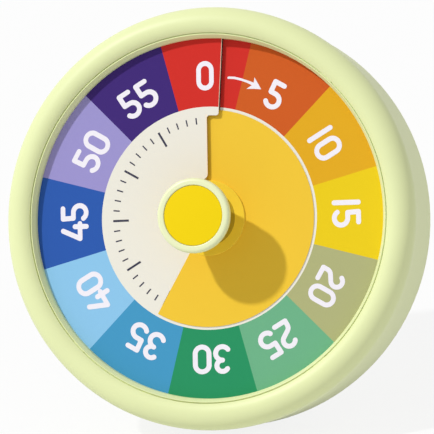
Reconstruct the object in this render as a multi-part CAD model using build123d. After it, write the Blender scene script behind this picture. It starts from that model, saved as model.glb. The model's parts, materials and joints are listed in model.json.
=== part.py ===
from build123d import *
import math
import os

# Round countdown timer. Everything is modelled in the dial's own frame first: X to the right,
# Y up the dial, Z out of the dial towards the reader, with Z = 0 at the low edge of the dial
# sheet's slit. At the end every piece is leant back by LEAN and set on the floor.
# Clock angles are in degrees, clockwise from twelve o'clock.

# ---- Stance
LEAN = 22.0                 # how far the dial leans back on its open stand
FLAT_DEPTH = 1.0            # how much the resting flat takes off the rear edge

OVERCUT = 1.0               # how far a cut runs past what it cuts
FIT = 0.1                   # gap between fixed pieces that slip into each other

# ---- Dial
STEP = 1.9                  # rise of the dial sheet over one turn, seen as the step at its slit
SHEET_T = 0.4
SHEET_R = 78.1
FILM_T = 0.2
FILM_R = 46.2
FILM_LIFT = 0.15            # film above the sheet it covers
HUB_R = 16.0                # drum that carries the film
HUB_ROOM = 0.5              # sheet's hole around the drum
SHEET_HOLE_R = HUB_R + HUB_ROOM
HUB_WALL = 1.4
HUB_EDGE = 0.15
HUB_BOSS_WALL = 2.15        # around the hexagon
HUB_MARGIN = 0.15           # drum beyond the film's edge, above and below
SLIT_SHORT = 2.45           # the slit jogs aside this far inside the film's rim
SLIT_STEP_R = FILM_R - SLIT_SHORT
SLIT_X = 0.25               # inner slit beside the axis
SLIT_OFFSET = 5.45          # outer slit beside the axis, where the slit jogs aside
SLIT_LEAN = 3.7             # lean of the outer slit away from the axis, in degrees
SLIT_CORNER = 1.2
SLIT_END_R = 2.4            # rounded corner of the raised edge at the sheet's hole
OVERLAP_ANGLE = 12.0        # degrees past the full turn from which the raised edge is cut
SPLINE_SPAN = 7.5           # degrees between the points of a spiral edge
SHOWN_ANGLE = 209.8         # clock angle of the film's leading edge at rest, 35 minutes
SEAT_GAP = 0.03             # air under and over the sheet's edge
CARRIER_TOP_Z = -3.2
CARRIER_T = 2.0
SCREW_SKIN = 0.6            # carrier left over the movement's screw holes
RAMP_LAP = 4.0              # width of the spiral seat under the sheet's edge
RAMP_IN_R = SHEET_R - RAMP_LAP
RING_LAP = 1.6              # retaining ring over the sheet's edge, which frames the dial
RING_IN_R = SHEET_R - RING_LAP
SHEET_ROOM = 0.25           # around the sheet's rim
RING_OUT_R = SHEET_R + SHEET_ROOM
RING_RISE = 3.6             # ring above the highest part of the sheet
RING_TOP_Z = STEP + RING_RISE
RING_FOOT_Z = 1.4           # the ring's inner wall leans outwards from here
RING_WALL = 1.9             # height and lean of that wall, below the cone of the ring
RING_DRAFT = 0.15
RING_EDGE = 0.3
TAB_ANGLES = (43, 142, 227, 319)
TAB_W = 6.0
TAB_T = 0.5

# ---- Case, built outwards from the dial
RING_ROOM = 0.35            # groove between the retaining ring and the bezel
BEZEL_IN_R = RING_OUT_R + RING_ROOM
RIM_IN = 4.1                # crest of the rim beyond its inner edge
RIM_OUT = 7.2               # side wall beyond the crest
RIM_R = BEZEL_IN_R + RIM_IN
CASE_R = RIM_R + RIM_OUT
BEZEL_RISE = 3.8            # rim's inner edge above the highest part of the sheet
BEZEL_IN_Z = STEP + BEZEL_RISE
RIM_DROP = 1.5              # crest above the rim's inner edge
CREST_Z = BEZEL_IN_Z + RIM_DROP
SIDE_Z = CREST_Z - RIM_OUT  # where the rim's rounding meets the side wall
RIM_BACK_Z = -1.0           # flat underside of the rim, where the dial carrier seats
PART_Z = -3.2               # where bezel and rear case meet
BOSS_MEET_Z = -13.6         # where their screw bosses meet
CASE_WALL = 2.4
CARRIER_GAP = 1.8           # carrier inside the bezel's wall
CARRIER_R = CASE_R - CASE_WALL - CARRIER_GAP
REAR_STEP = 0.5             # rear case inside the bezel at the parting line
REAR_R = CASE_R - REAR_STEP
REAR_DRAFT = 1.0            # its narrowing down to the edge rounding
REAR_END_R = REAR_R - REAR_DRAFT
BACK_Z = -38.0              # outer face of the back
BACK_WALL = 2.6
EDGE_R = 4.0                # rounding of the rear edge
TONGUE_H = 2.0              # tongue of the rear case inside the bezel
TONGUE_T = 1.3
TONGUE_ROOT = 2.0           # tongue's root below the parting line

# ---- Knob and arbor
KNOB_R = 15.8               # rim around the knob's cap
KNOB_CLEAR = 0.55           # knob above the drum at the drum's highest
KNOB_FOOT_Z = STEP + FILM_LIFT + FILM_T + HUB_MARGIN + KNOB_CLEAR
KNOB_STEM = 13.05
KNOB_FLARE_Z = KNOB_FOOT_Z + KNOB_STEM      # top of the cone from the foot to the grip
KNOB_BEVEL = 0.4
KNOB_GRIP = 5.0
KNOB_SEAT_Z = KNOB_FLARE_Z + KNOB_BEVEL + KNOB_GRIP     # seat of the rim on the grip
KNOB_RIM_H = 3.3
KNOB_TOP_Z = KNOB_SEAT_Z + KNOB_RIM_H
KNOB_FOOT_R = 7.0
KNOB_FLARE_IN = 1.1         # cone's end inside the grip
KNOB_RIM_OUT = 0.5          # rim beyond the grip
GRIP_R = KNOB_R - KNOB_RIM_OUT
KNOB_GROOVES = (1.5, 3.4)   # grooves above the grip's lower end
KNOB_GROOVE_H = 0.9
KNOB_GROOVE_DEPTH = 0.7
KNOB_RIM = 3.16             # width of the rim around the cap
CAP_R = KNOB_R - KNOB_RIM
CAP_EDGE = 0.4
CAP_SINK = 0.4              # the cap lies this much below the rim
RIM_EDGE = 1.5
RIM_FOOT_EDGE = 0.8
RIM_MOUTH_EDGE = 0.5
KNOB_CORE = 3.9             # from the rim's top to the end of the hexagon's hole
ARBOR_R = 2.5
HEX_AF = 4.3                # across the flats of the arbor's drive end
SLIDE_FIT = 0.05            # radial running clearance
ARBOR_COLLAR_R = 4.2
ARBOR_COLLAR_T = 0.6
CLIP_T = 0.6
CLIP_GAP = 0.05
CLIP_MOUTH = 1.5            # half the clip's opening
CLIP_GROOVE = 0.4           # depth of the clip's groove in the arbor
SPRING_T = 0.7
SPRING_SHEET = 0.3          # thickness of the dished washer
ARBOR_TAIL_R = 2.0
ARBOR_TAIL = 0.7            # tail's length in the cover
ARBOR_END_GAP = 0.3
HEX_ROOT = 0.4              # hexagon's start below the movement's face
HEX_SHORT = 0.2             # hexagon's end below the end of its hole


def polar(start, distance, direction):
    turn = math.radians(direction)
    return (start[0] + distance * math.cos(turn), start[1] + distance * math.sin(turn))


def centre_distance(module, teeth_a, teeth_b):
    return module * (teeth_a + teeth_b) / 2


# ---- Movement
MOVE_CORNER = 3.0
MOVE_STAND = 2.0            # carrier's posts, which hold the movement off its back
MOVE_FRONT_Z = CARRIER_TOP_Z - CARRIER_T - MOVE_STAND
MOVE_SPLIT_Z = -16.0
MOVE_BACK_Z = -24.0
MOVE_WALL = 1.5
POST_INSET = 3.6
POST_R = 2.6
SCREW_R = 1.25              # all small screws
SCREW_GAP = 0.15            # around a screw that passes through
SCREW_HEAD_R = 2.3
SCREW_HEAD_T = 1.6
HEAD_GAP = 0.4              # around a sunk head
CROSS_ARM = 0.6             # cross recess as shares of the head's radius and height
CROSS_SLOT = 0.18
CROSS_DEPTH = 0.5
PIVOT_R = 0.5
PIVOT_DEPTH = 0.6
PIVOT_END_GAP = 0.1
WHEEL_T = 0.8
PINION_T = 1.2
MINUTE_T = 1.4
MINUTE_HOLES = 5
MINUTE_HOLE_R = 2.2
MINUTE_HOLE_CIRCLE = 7.2
COLLAR_GAP = 0.6            # between the movement's wall and the arbor's collar
WHEEL_GAP = 0.6             # between a wheel and what turns in front of it
SECOND_GAP = 0.8
PINION_OVER = 0.2           # a pinion stands this far past the wheel that drives it
MAGNET_GAP = 0.8            # between the rotor's pinion and its magnet
MAGNET_T = 2.4
MAGNET_R = 2.2
STATOR_SINK = 0.6           # stator below the magnet's front
STATOR_T = 1.2
STATOR_HALF_W = 5.0         # plate around the rotor
STATOR_LEG_W = 4.0
STATOR_LEG_OUT = 3.0        # legs beyond the coil
STATOR_LEG_UP = 2.0         # legs past the core
STATOR_CORE_W = 2.4
STATOR_GAP = 0.5            # around the magnet and the staffs
MODULE_SLOW = 0.4
MODULE_FAST = 0.3
MINUTE_TEETH = 56
INTER_LEAVES = 7
INTER_TEETH = 60
SECOND_LEAVES = 8
SECOND_TEETH = 36
STEP_LEAVES = 6
STEP_TEETH = 30
ROTOR_LEAVES = 6
INTER_DIR = 203.0           # directions from one wheel to the next, counter-clockwise from X
SECOND_DIR = 95.0
STEP_DIR = 50.0
ROTOR_DIR = 20.0
MINUTE_AT = (0.0, 0.0)
INTER_AT = polar(MINUTE_AT, centre_distance(MODULE_SLOW, MINUTE_TEETH, INTER_LEAVES), INTER_DIR)
SECOND_AT = polar(INTER_AT, centre_distance(MODULE_FAST, INTER_TEETH, SECOND_LEAVES), SECOND_DIR)
STEP_AT = polar(SECOND_AT, centre_distance(MODULE_FAST, SECOND_TEETH, STEP_LEAVES), STEP_DIR)
ROTOR_AT = polar(STEP_AT, centre_distance(MODULE_FAST, STEP_TEETH, ROTOR_LEAVES), ROTOR_DIR)
COIL_R = 3.1
COIL_LEN = 26.0
PLATE_GAP = 0.59            # between the coil and the plate around the rotor
COIL_Y = ROTOR_AT[1] + STATOR_HALF_W + PLATE_GAP + COIL_R
COIL_ROOM = 1.8             # between the coil and the movement's wall
MOVE_SIZE = 2 * (COIL_Y + COIL_R + COIL_ROOM + MOVE_WALL)
MOVE_POST = MOVE_SIZE / 2 - POST_INSET      # screw posts in the corners
COIL_FLANGE_T = 1.2
COIL_FLANGE_OVER = 0.4      # flange beyond the winding
COIL_FIT = 0.05

# ---- Stand
HINGE_Y = 26.0
LEG_SLANT = 12.87           # open leg from the vertical; its length follows
LEG_W = 46.0
LEG_CORNER = 9.0
LEG_EDGE = 0.6
LEG_END_SHORT = 0.6         # leg's end short of the foot pad's middle
PAD_SHORT = 6.0             # pad inside each side of the leg
LEG_T = 4.4
LEG_SUNK = 0.2              # leg below the back when folded
LEG_SIDE_GAP = 0.5
HEEL = 5.0                  # part of the leg beyond its hinge, which meets the stop
LEG_BORDER = 7.0            # frame around the leg's sunk panel
LEG_PANEL_TOP = 14.0        # hinge to the panel
LEG_PANEL_DEPTH = 1.2
LEG_PANEL_CORNER = 5.0
PIN_FIT = 0.07              # radial play of the leg on its pin
PAD_R = 2.4
PIN_R = 1.25
STOP_GAP = 0.2              # room for the heel at its deepest
TRAY_WALL = 1.8
TRAY_ROOF_GAP = 0.4         # over the folded leg
TRAY_END_GAP = 0.8          # past the foot pad
TRAY_HEEL_GAP = 0.6

# ---- Battery, board, switch
CELL_R = 7.1
CELL_LEN = 49.4
NUB_R = 2.6
NUB_LEN = 1.1
CELL_EDGE = 0.5
CELL_ROOM = 0.9             # to each side of the cell
CELL_GAP = 0.4              # under and over the cell
CELL_PLAY = 0.1             # along the cell
BAY_X = -51.5
BAY_LOW_Y = -27.0
BAY_W = 2 * (CELL_R + CELL_ROOM)
BAY_WALL = 3.0
BAY_FLOOR = 1.6
SPRING_LEN = 3.0
SPRING_COIL_R = 4.0
SPRING_WIRE_R = 0.4
SPRING_TURNS = 2.5
SPRING_SINK = 0.15          # wire's end in its plate
CONTACT_T = 0.4
CONTACT_SHORT = 1.5         # contact plate inside each side of the bay
DOOR_T = 2.2
DOOR_LAP = 1.6              # door beyond the bay on every side
DOOR_GAP = 0.25
DOOR_SEAT_GAP = 0.1
NUB_PIVOT_R = 0.8
NUB_PIVOT_LEN = 0.8
NUB_PIVOT_END_GAP = 0.3
SCOOP_R = 5.0               # finger scoop at the door's free end
SCOOP_HALF_W = 9.0
SCOOP_REACH = 20.0
SCOOP_DEPTH = 1.4
GRIP_COUNT = 5              # grooves in the door
GRIP_START = 8.0
GRIP_PITCH = 2.4
GRIP_HALF_W = 4.5
GRIP_HALF_H = 0.5
GRIP_DEPTH = 0.6
BOARD_X = 52.0
BOARD_Y = -2.0
BOARD_W = 38.0
BOARD_H = 64.0
BOARD_T = 1.6
BOARD_CORNER = 2.0
BOARD_Z = -27.6             # face of the board towards the back
BOARD_POST_INSET = 3.5
BOARD_POST_R = 2.6
BOARD_POST_ROOT = 0.5       # post's root in the back
BOARD_SCREW_GRIP = 5.0
CHIP_R = 5.0
CHIP_H = 1.5
CHIP_EDGE = 1.2
CHIP_AT = (-4.0, 4.0)       # from the board's middle
CRYSTAL_R = 1.5
CRYSTAL_LEN = 8.0
CRYSTAL_AT = (8.0, -6.0)
BUZZER_EDGE = 0.6
BUZZER_MOUTH_R = 1.2
BUZZER_MOUTH_DEPTH = 1.5
BUZZER_R = 6.5
BUZZER_GAP = 0.4
BUZZER_Y = -18.0            # from the board's middle
SOUND_HOLE_R = 0.9
SOUND_RING_R = 3.4
SWITCH_Y = 14.0             # from the board's middle
SWITCH_W = 6.0
SWITCH_H = 13.0
SLIDER_W = 4.0
SLIDER_H = 5.0
SLIDER_TRAVEL = 2.8         # to each side of the middle
SLIDER_SINK = 0.5           # slider inside the back's face
SLIDER_RIDGES = (-1, 0, 1)
SLIDER_RIDGE_PITCH = 1.4
SLIDER_RIDGE_HALF = 0.3
SLIDER_RIDGE_DEPTH = 0.4
STEM_HALF_W = 0.8
STEM_SHORT = 1.2            # stem inside each end of the slider
STEM_DEPTH = 1.6
SWITCH_CAVITY = 2.0
SWITCH_GAP = 2.2            # between the back wall and the switch
SLIDER_OVER_GAP = 0.2
SLOT_GAP = 0.3
KEYHOLE_Y = 58.0
KEYHOLE_R = 4.5
KEYHOLE_SLOT_R = 2.3
KEYHOLE_RISE = 9.0
SCREW_CIRCLE_IN = 7.0
CASE_SCREW_R = CASE_R - SCREW_CIRCLE_IN     # circle of the case screws
CASE_SCREW_ANGLES = (45, 135, 225, 315)
CASE_SCREW_SEAT_Z = -24.0
CARRIER_SCREW_ANGLES = (20, 110, 200, 290)
CASE_SCREW_GRIP = 1.5       # case screw past the rim's underside
CASE_SCREW_HOLE = 2.5
CARRIER_SCREW_GRIP = 2.5
CARRIER_SCREW_HOLE = 3.0
MOVE_SCREW_END = 1.0        # movement screw's tip below the carrier's face
BOSS_R = 3.0                # bezel's screw bosses
BOSS_GAP = 0.2              # carrier around a boss
REAR_BOSS_WALL = 1.3        # around a sunk screw head
SOUND_HOLES = 6             # around the middle one

CENTRED = (Align.CENTER, Align.CENTER, Align.MIN)


# ---- Small helpers

def disc(radius, low, high, x=0.0, y=0.0):
    """A round solid along Z."""
    return Pos(x, y, low) * Cylinder(radius, high - low, align=CENTRED)


def tube(outer, inner, low, high, x=0.0, y=0.0):
    return disc(outer, low, high, x, y) - disc(inner, low, high, x, y)


def block(x0, x1, y0, y1, z0, z1):
    return Pos((x0 + x1) / 2, (y0 + y1) / 2, z0) * Box(x1 - x0, y1 - y0, z1 - z0, align=CENTRED)


def clock_point(radius, angle, z=0.0):
    """A point at a clock angle, seen from the front."""
    turn = math.radians(angle)
    return Vector(radius * math.sin(turn), radius * math.cos(turn), z)


def around(solids):
    """Several separate solids as one node."""
    return Compound(children=list(solids))


def revolved(*lines):
    """Revolves a closed (radius, z) outline about the dial's axis."""
    return revolve(Plane.XZ * make_face(Curve() + list(lines)), Axis.Z)


def screw(x, y, head_z, tip_z, radius=SCREW_R, head_r=SCREW_HEAD_R, head_t=SCREW_HEAD_T):
    """A pan-head screw pointing towards +Z, with its head's seat at head_z and a cross recess."""
    body = disc(radius, head_z, tip_z, x, y) + disc(head_r, head_z - head_t, head_z, x, y)
    arm = head_r * CROSS_ARM
    slot = head_r * CROSS_SLOT
    low = head_z - head_t
    floor = low + head_t * CROSS_DEPTH
    cross = block(x - arm, x + arm, y - slot, y + slot, low, floor)
    cross += block(x - slot, x + slot, y - arm, y + arm, low, floor)
    return body - cross


# ---- Spiral pieces: the sheet rises by STEP over one turn clockwise, the film follows it

def sheet_height(angle):
    return STEP * angle / 360


def rising_edge(radius, height, start, end):
    count = max(2, math.ceil((end - start) / SPLINE_SPAN))
    angles = [start + (end - start) * i / count for i in range(count + 1)]
    return Spline(*[clock_point(radius, a, height(a)) for a in angles]).edge()


def spiral_slab(r_in, r_out, low, high, start, end):
    """A spiral wall between two radii, two heights given as functions, and two clock angles."""
    def edge(radius, height):
        return rising_edge(radius, height, start, end)

    faces = [
        Face.make_surface_from_curves(edge(r_in, low), edge(r_out, low)),
        Face.make_surface_from_curves(edge(r_in, high), edge(r_out, high)),
        Face.make_surface_from_curves(edge(r_in, low), edge(r_in, high)),
        Face.make_surface_from_curves(edge(r_out, low), edge(r_out, high)),
    ]
    for angle in (start, end):
        corners = [(r_in, low), (r_out, low), (r_out, high), (r_in, high)]
        points = [clock_point(radius, angle, height(angle)) for radius, height in corners]
        faces.append(Face(Wire.make_polygon(points, close=True)))
    return Solid(Shell(faces))


def spiral_turn(r_in, r_out, low, high, start, end, pieces=2):
    """A spiral wall of up to a full turn, joined from shorter ones."""
    whole = None
    for i in range(pieces):
        a = start + (end - start) * i / pieces
        b = start + (end - start) * (i + 1) / pieces
        slab = spiral_slab(r_in, r_out, low, high, a, b)
        whole = slab if whole is None else whole + slab
    return whole


def slit_x(y):
    """Where the outer slit is beside the axis, at a height up the dial."""
    return SLIT_OFFSET + (y - SLIT_STEP_R) * math.tan(math.radians(SLIT_LEAN))


SEAM = math.degrees(math.asin(slit_x(SHEET_R) / SHEET_R))   # the outer slit at the sheet's rim
SEAM_ROOM = 0.45                                            # degrees of air at the seam


def slit_strip():
    """What the raised edge of the sheet covers past the full turn, with its rounded jog."""
    far = SHEET_R + OVERCUT
    outer = make_face(Polyline((0, 0), (slit_x(0), 0), (slit_x(far), far), (0, far), close=True))
    strip = outer - Circle(SLIT_STEP_R) + Rectangle(SLIT_X, far, align=(Align.MIN, Align.MIN))
    corners = []
    for x in (SLIT_X, SLIT_OFFSET):
        corner = Vector(x, math.sqrt(SLIT_STEP_R ** 2 - x ** 2))
        corners.append(min(strip.vertices(), key=lambda v: (Vector(v) - corner).length))
    return fillet(corners, SLIT_CORNER)


def make_dial_sheet():
    def low(angle):
        return sheet_height(angle) - SHEET_T

    prism = Pos(0, 0, -SHEET_T - OVERCUT) * extrude(slit_strip(), 2 * STEP + 2 * OVERCUT)
    first = spiral_slab(SHEET_HOLE_R, SHEET_R, low, sheet_height, 0, 180) - prism
    second = spiral_slab(SHEET_HOLE_R, SHEET_R, low, sheet_height, 180, 360)
    over = spiral_slab(SHEET_HOLE_R, SHEET_R, low, sheet_height, 360,
                       360 + OVERLAP_ANGLE) & prism
    # The raised edge ends in a rounded corner at the hole.
    end_y = math.sqrt(SHEET_HOLE_R ** 2 - SLIT_X ** 2)
    spare = Pos(SLIT_X - SLIT_END_R, end_y - OVERCUT) * Rectangle(
        SLIT_END_R + OVERCUT, SLIT_END_R + OVERCUT, align=(Align.MIN, Align.MIN))
    spare -= Pos(SLIT_X - SLIT_END_R, end_y + SLIT_END_R) * Circle(SLIT_END_R)
    corner = Pos(0, 0, STEP / 2) * extrude(spare, STEP)
    return first + second + over - corner


def film_low(angle):
    return sheet_height(angle) + FILM_LIFT


def film_high(angle):
    return film_low(angle) + FILM_T


def make_film_disc():
    return spiral_turn(HUB_R, FILM_R, film_low, film_high, SHOWN_ANGLE - 360, SHOWN_ANGLE, 3)


HUB_LOW_Z = film_low(SHOWN_ANGLE - 360) - HUB_MARGIN
HUB_TOP_Z = film_high(SHOWN_ANGLE) + HUB_MARGIN


def hexagon_bar(across_flats, low, high):
    outline = RegularPolygon(across_flats / 2, 6, major_radius=False)
    return Pos(0, 0, low) * extrude(outline, high - low)


def make_film_hub():
    drum = disc(HUB_R, HUB_LOW_Z, HUB_TOP_Z)
    drum = chamfer(drum.faces().sort_by(Axis.Z)[-1].edges(), HUB_EDGE)
    drum -= disc(HUB_R - HUB_WALL, HUB_LOW_Z, HUB_TOP_Z - HUB_WALL)
    drum += disc(HEX_AF / 2 + HUB_BOSS_WALL, HUB_LOW_Z, HUB_TOP_Z)
    return drum - hexagon_bar(HEX_AF + 2 * SLIDE_FIT, HUB_LOW_Z, HUB_TOP_Z)


def make_retaining_ring():
    ring = revolved(Polyline(
        (RING_IN_R, RIM_BACK_Z), (RING_IN_R, RING_FOOT_Z),
        (RING_IN_R + RING_DRAFT, RING_FOOT_Z + RING_WALL), (RING_OUT_R - RING_EDGE, RING_TOP_Z),
        (RING_OUT_R, RING_TOP_Z - RING_EDGE), (RING_OUT_R, RIM_BACK_Z), close=True))

    def bottom(angle):
        return RIM_BACK_Z - OVERCUT

    def top(angle):
        return sheet_height(angle) + SEAT_GAP

    seam = SEAM + SEAM_ROOM
    inner, outer = RING_IN_R - OVERCUT, RING_OUT_R + OVERCUT
    ring -= spiral_slab(inner, outer, bottom, top, seam, seam + 180)
    ring -= spiral_slab(inner, outer, bottom, top, seam + 180, seam + 360)
    for angle in TAB_ANGLES:
        tab = block(-TAB_W / 2, TAB_W / 2, RING_OUT_R - RING_EDGE, BEZEL_IN_R - FIT / 2,
                    RING_TOP_Z - RING_EDGE - TAB_T, RING_TOP_Z - RING_EDGE)
        ring += Rot(0, 0, -angle) * tab
    return ring


# ---- Case

def make_front_bezel():
    post_low = BOSS_MEET_Z - FIT
    wall_r = CASE_R - CASE_WALL
    drop = CREST_Z - BEZEL_IN_Z
    reach = RIM_R - BEZEL_IN_R
    inner_arc_r = (reach ** 2 + drop ** 2) / (2 * drop)
    half = math.asin(reach / inner_arc_r) / 2
    inner_mid = (RIM_R - inner_arc_r * math.sin(half), CREST_Z - inner_arc_r * (1 - math.cos(half)))
    outer_r = CASE_R - RIM_R
    s = math.sqrt(0.5)
    bezel = revolved(
        ThreePointArc((BEZEL_IN_R, BEZEL_IN_Z), inner_mid, (RIM_R, CREST_Z)),
        ThreePointArc((RIM_R, CREST_Z), (RIM_R + outer_r * s, SIDE_Z + outer_r * s),
                      (CASE_R, SIDE_Z)),
        Polyline((CASE_R, SIDE_Z), (CASE_R, PART_Z), (wall_r, PART_Z), (wall_r, RIM_BACK_Z),
                 (BEZEL_IN_R, RIM_BACK_Z), (BEZEL_IN_R, BEZEL_IN_Z)),
    )
    for angle in CASE_SCREW_ANGLES:
        p = clock_point(CASE_SCREW_R, angle)
        bezel += disc(BOSS_R, post_low, RIM_BACK_Z, p.X, p.Y)
        bezel -= disc(SCREW_R, post_low, RIM_BACK_Z + CASE_SCREW_HOLE, p.X, p.Y)
    for angle in CARRIER_SCREW_ANGLES:
        p = clock_point(CASE_SCREW_R, angle)
        bezel -= disc(SCREW_R, RIM_BACK_Z, RIM_BACK_Z + CARRIER_SCREW_HOLE, p.X, p.Y)
    return bezel


def case_volume(shrink_side, shrink_back):
    """The rear case's outer form, drawn in by a wall at its side and at its back."""
    edge = EDGE_R - shrink_back
    back = BACK_Z + shrink_back
    s = math.sqrt(0.5)
    end_r = REAR_END_R - shrink_side
    bend = end_r - edge
    top = PART_Z if shrink_side == 0 else PART_Z + TONGUE_H + OVERCUT
    return revolved(
        Polyline((0, top), (REAR_R - shrink_side, top), (end_r, back + edge)),
        ThreePointArc((end_r, back + edge), (bend + edge * s, back + edge - edge * s), (bend, back)),
        Polyline((bend, back), (0, back), (0, top)),
    )


# The leg folds into a tray in the back. Its hinge, stance and stop follow from the lean.
LEAN_RAD = math.radians(LEAN)
EDGE_CENTRE_R = REAR_END_R - EDGE_R
EDGE_CENTRE_Z = BACK_Z + EDGE_R
AXIS_HEIGHT = (EDGE_CENTRE_R * math.cos(LEAN_RAD) - EDGE_CENTRE_Z * math.sin(LEAN_RAD)
               + EDGE_R - FLAT_DEPTH)
HINGE_Z = BACK_Z + LEG_SUNK + LEG_T / 2
HINGE_HEIGHT = HINGE_Y * math.cos(LEAN_RAD) + HINGE_Z * math.sin(LEAN_RAD) + AXIS_HEIGHT
LEG_LEN = (HINGE_HEIGHT - PAD_R) / math.cos(math.radians(LEG_SLANT))    # hinge to pad's middle
OPEN_ANGLE = LEAN + LEG_SLANT                                           # leg from the back
OPEN_RAD = math.radians(OPEN_ANGLE)
STOP_DEPTH = HEEL * math.sin(OPEN_RAD) + LEG_T / 2 * math.cos(OPEN_RAD) + STOP_GAP
TRAY_HALF_W = LEG_W / 2 + LEG_SIDE_GAP
TRAY_DEPTH = LEG_SUNK + LEG_T + TRAY_ROOF_GAP
TRAY_LOW_Y = HINGE_Y - LEG_LEN - PAD_R - TRAY_END_GAP
TRAY_HIGH_Y = HINGE_Y + HEEL + TRAY_HEEL_GAP

BAY_LEN = SPRING_LEN + CELL_LEN + NUB_LEN + 2 * CONTACT_T + CELL_PLAY
BAY_HIGH_Y = BAY_LOW_Y + BAY_LEN
CELL_Z = BACK_Z + DOOR_T + CELL_GAP + CELL_R
BAY_TOP_Z = CELL_Z + CELL_R + CELL_GAP
DOOR_HALF_W = BAY_W / 2 + DOOR_LAP
DOOR_HINGE_Y = BAY_LOW_Y - DOOR_LAP + DOOR_T / 2
DOOR_HINGE_Z = BACK_Z + DOOR_T / 2

SWITCH_AT_Y = BOARD_Y + SWITCH_Y
BUZZER_AT_Y = BOARD_Y + BUZZER_Y
SLIDER_LOW_Z = BACK_Z + SLIDER_SINK
SWITCH_LOW_Z = BACK_Z + BACK_WALL + SWITCH_GAP
BOARD_POSTS = [(BOARD_X + sx * (BOARD_W / 2 - BOARD_POST_INSET),
                BOARD_Y + sy * (BOARD_H / 2 - BOARD_POST_INSET))
               for sx, sy in ((-1, -1), (-1, 1), (1, 1), (1, -1))]


def make_rear_case():
    outer = case_volume(0, 0)
    case = outer - case_volume(CASE_WALL, BACK_WALL)
    tongue_r = CASE_R - CASE_WALL - FIT
    case += tube(tongue_r, tongue_r - TONGUE_T, PART_Z - TONGUE_ROOT, PART_Z + TONGUE_H)

    # Tray for the leg, with a deeper pocket for its heel at the hinge.
    tray_x = TRAY_HALF_W + TRAY_WALL
    tray_top = BACK_Z + TRAY_DEPTH
    pocket_top = HINGE_Z + STOP_DEPTH
    pocket_low_y = HINGE_Y - LEG_T
    tray = block(-tray_x, tray_x, TRAY_LOW_Y - TRAY_WALL, TRAY_HIGH_Y + TRAY_WALL, BACK_Z,
                 tray_top + TRAY_WALL)
    tray += block(-tray_x, tray_x, pocket_low_y - TRAY_WALL, TRAY_HIGH_Y + TRAY_WALL, BACK_Z,
                  pocket_top + TRAY_WALL)
    case += tray & outer
    case -= block(-TRAY_HALF_W, TRAY_HALF_W, TRAY_LOW_Y, TRAY_HIGH_Y, BACK_Z - OVERCUT,
                  tray_top)
    case -= block(-TRAY_HALF_W, TRAY_HALF_W, pocket_low_y, TRAY_HIGH_Y, BACK_Z - OVERCUT,
                  pocket_top)
    case -= stand_pin_rod(PIN_R)

    # Battery bay, with the door's rebate and pivot holes.
    half = BAY_W / 2
    case += block(BAY_X - half - BAY_WALL, BAY_X + half + BAY_WALL, BAY_LOW_Y - BAY_WALL,
                  BAY_HIGH_Y + BAY_WALL, BACK_Z, BAY_TOP_Z + BAY_FLOOR)
    case -= block(BAY_X - half, BAY_X + half, BAY_LOW_Y, BAY_HIGH_Y, BACK_Z - OVERCUT, BAY_TOP_Z)
    door_x = DOOR_HALF_W + DOOR_GAP
    case -= block(BAY_X - door_x, BAY_X + door_x, BAY_LOW_Y - DOOR_LAP - DOOR_GAP,
                  BAY_HIGH_Y + DOOR_LAP + DOOR_GAP, BACK_Z - OVERCUT,
                  BACK_Z + DOOR_T + DOOR_SEAT_GAP)
    case -= door_pivots(NUB_PIVOT_R + SLIDE_FIT, NUB_PIVOT_END_GAP)
    scoop = Pos(BAY_X, BAY_HIGH_Y + DOOR_LAP + DOOR_GAP, BACK_Z) * Sphere(SCOOP_R)
    case -= scoop & block(BAY_X - SCOOP_HALF_W, BAY_X + SCOOP_HALF_W, BAY_HIGH_Y,
                          BAY_HIGH_Y + SCOOP_REACH, BACK_Z - OVERCUT, BACK_Z + SCOOP_DEPTH)

    # Screw bosses, board posts, sound holes, switch slot and keyhole.
    below = BACK_Z - OVERCUT
    inside = BACK_Z + BACK_WALL + OVERCUT
    for angle in CASE_SCREW_ANGLES:
        p = clock_point(CASE_SCREW_R, angle)
        head_hole_r = SCREW_HEAD_R + HEAD_GAP
        boss = disc(head_hole_r + REAR_BOSS_WALL, BACK_Z, BOSS_MEET_Z - 2 * FIT, p.X, p.Y)
        case += boss & outer
        case -= disc(SCREW_R + SCREW_GAP, below, BOSS_MEET_Z + OVERCUT, p.X, p.Y)
        case -= disc(head_hole_r, below, CASE_SCREW_SEAT_Z, p.X, p.Y)
    for x, y in BOARD_POSTS:
        case += tube(BOARD_POST_R, SCREW_R, BACK_Z + BACK_WALL - BOARD_POST_ROOT, BOARD_Z, x, y)
    case -= disc(SOUND_HOLE_R, below, inside, BOARD_X, BUZZER_AT_Y)
    for i in range(SOUND_HOLES):
        p = clock_point(SOUND_RING_R, 360 / SOUND_HOLES * i)
        case -= disc(SOUND_HOLE_R, below, inside, BOARD_X + p.X, BUZZER_AT_Y + p.Y)
    slot_x = SLIDER_W / 2 + SLOT_GAP
    slot_y = SLIDER_H / 2 + SLIDER_TRAVEL + SLOT_GAP
    case -= block(BOARD_X - slot_x, BOARD_X + slot_x, SWITCH_AT_Y - slot_y, SWITCH_AT_Y + slot_y,
                  below, inside)
    case -= disc(KEYHOLE_R, below, inside, 0, KEYHOLE_Y)
    case -= disc(KEYHOLE_SLOT_R, below, inside, 0, KEYHOLE_Y + KEYHOLE_RISE)
    case -= block(-KEYHOLE_SLOT_R, KEYHOLE_SLOT_R, KEYHOLE_Y, KEYHOLE_Y + KEYHOLE_RISE, below,
                  inside)
    # The flat that the case stands on.
    ground = Box(4 * CASE_R, 4 * CASE_R, CASE_R, align=(Align.CENTER, Align.CENTER, Align.MAX))
    return case - PLACE.inverse() * ground


def make_case_screws():
    points = [clock_point(CASE_SCREW_R, a) for a in CASE_SCREW_ANGLES]
    return around(screw(p.X, p.Y, CASE_SCREW_SEAT_Z, RIM_BACK_Z + CASE_SCREW_GRIP) for p in points)


# ---- Dial carrier

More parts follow.
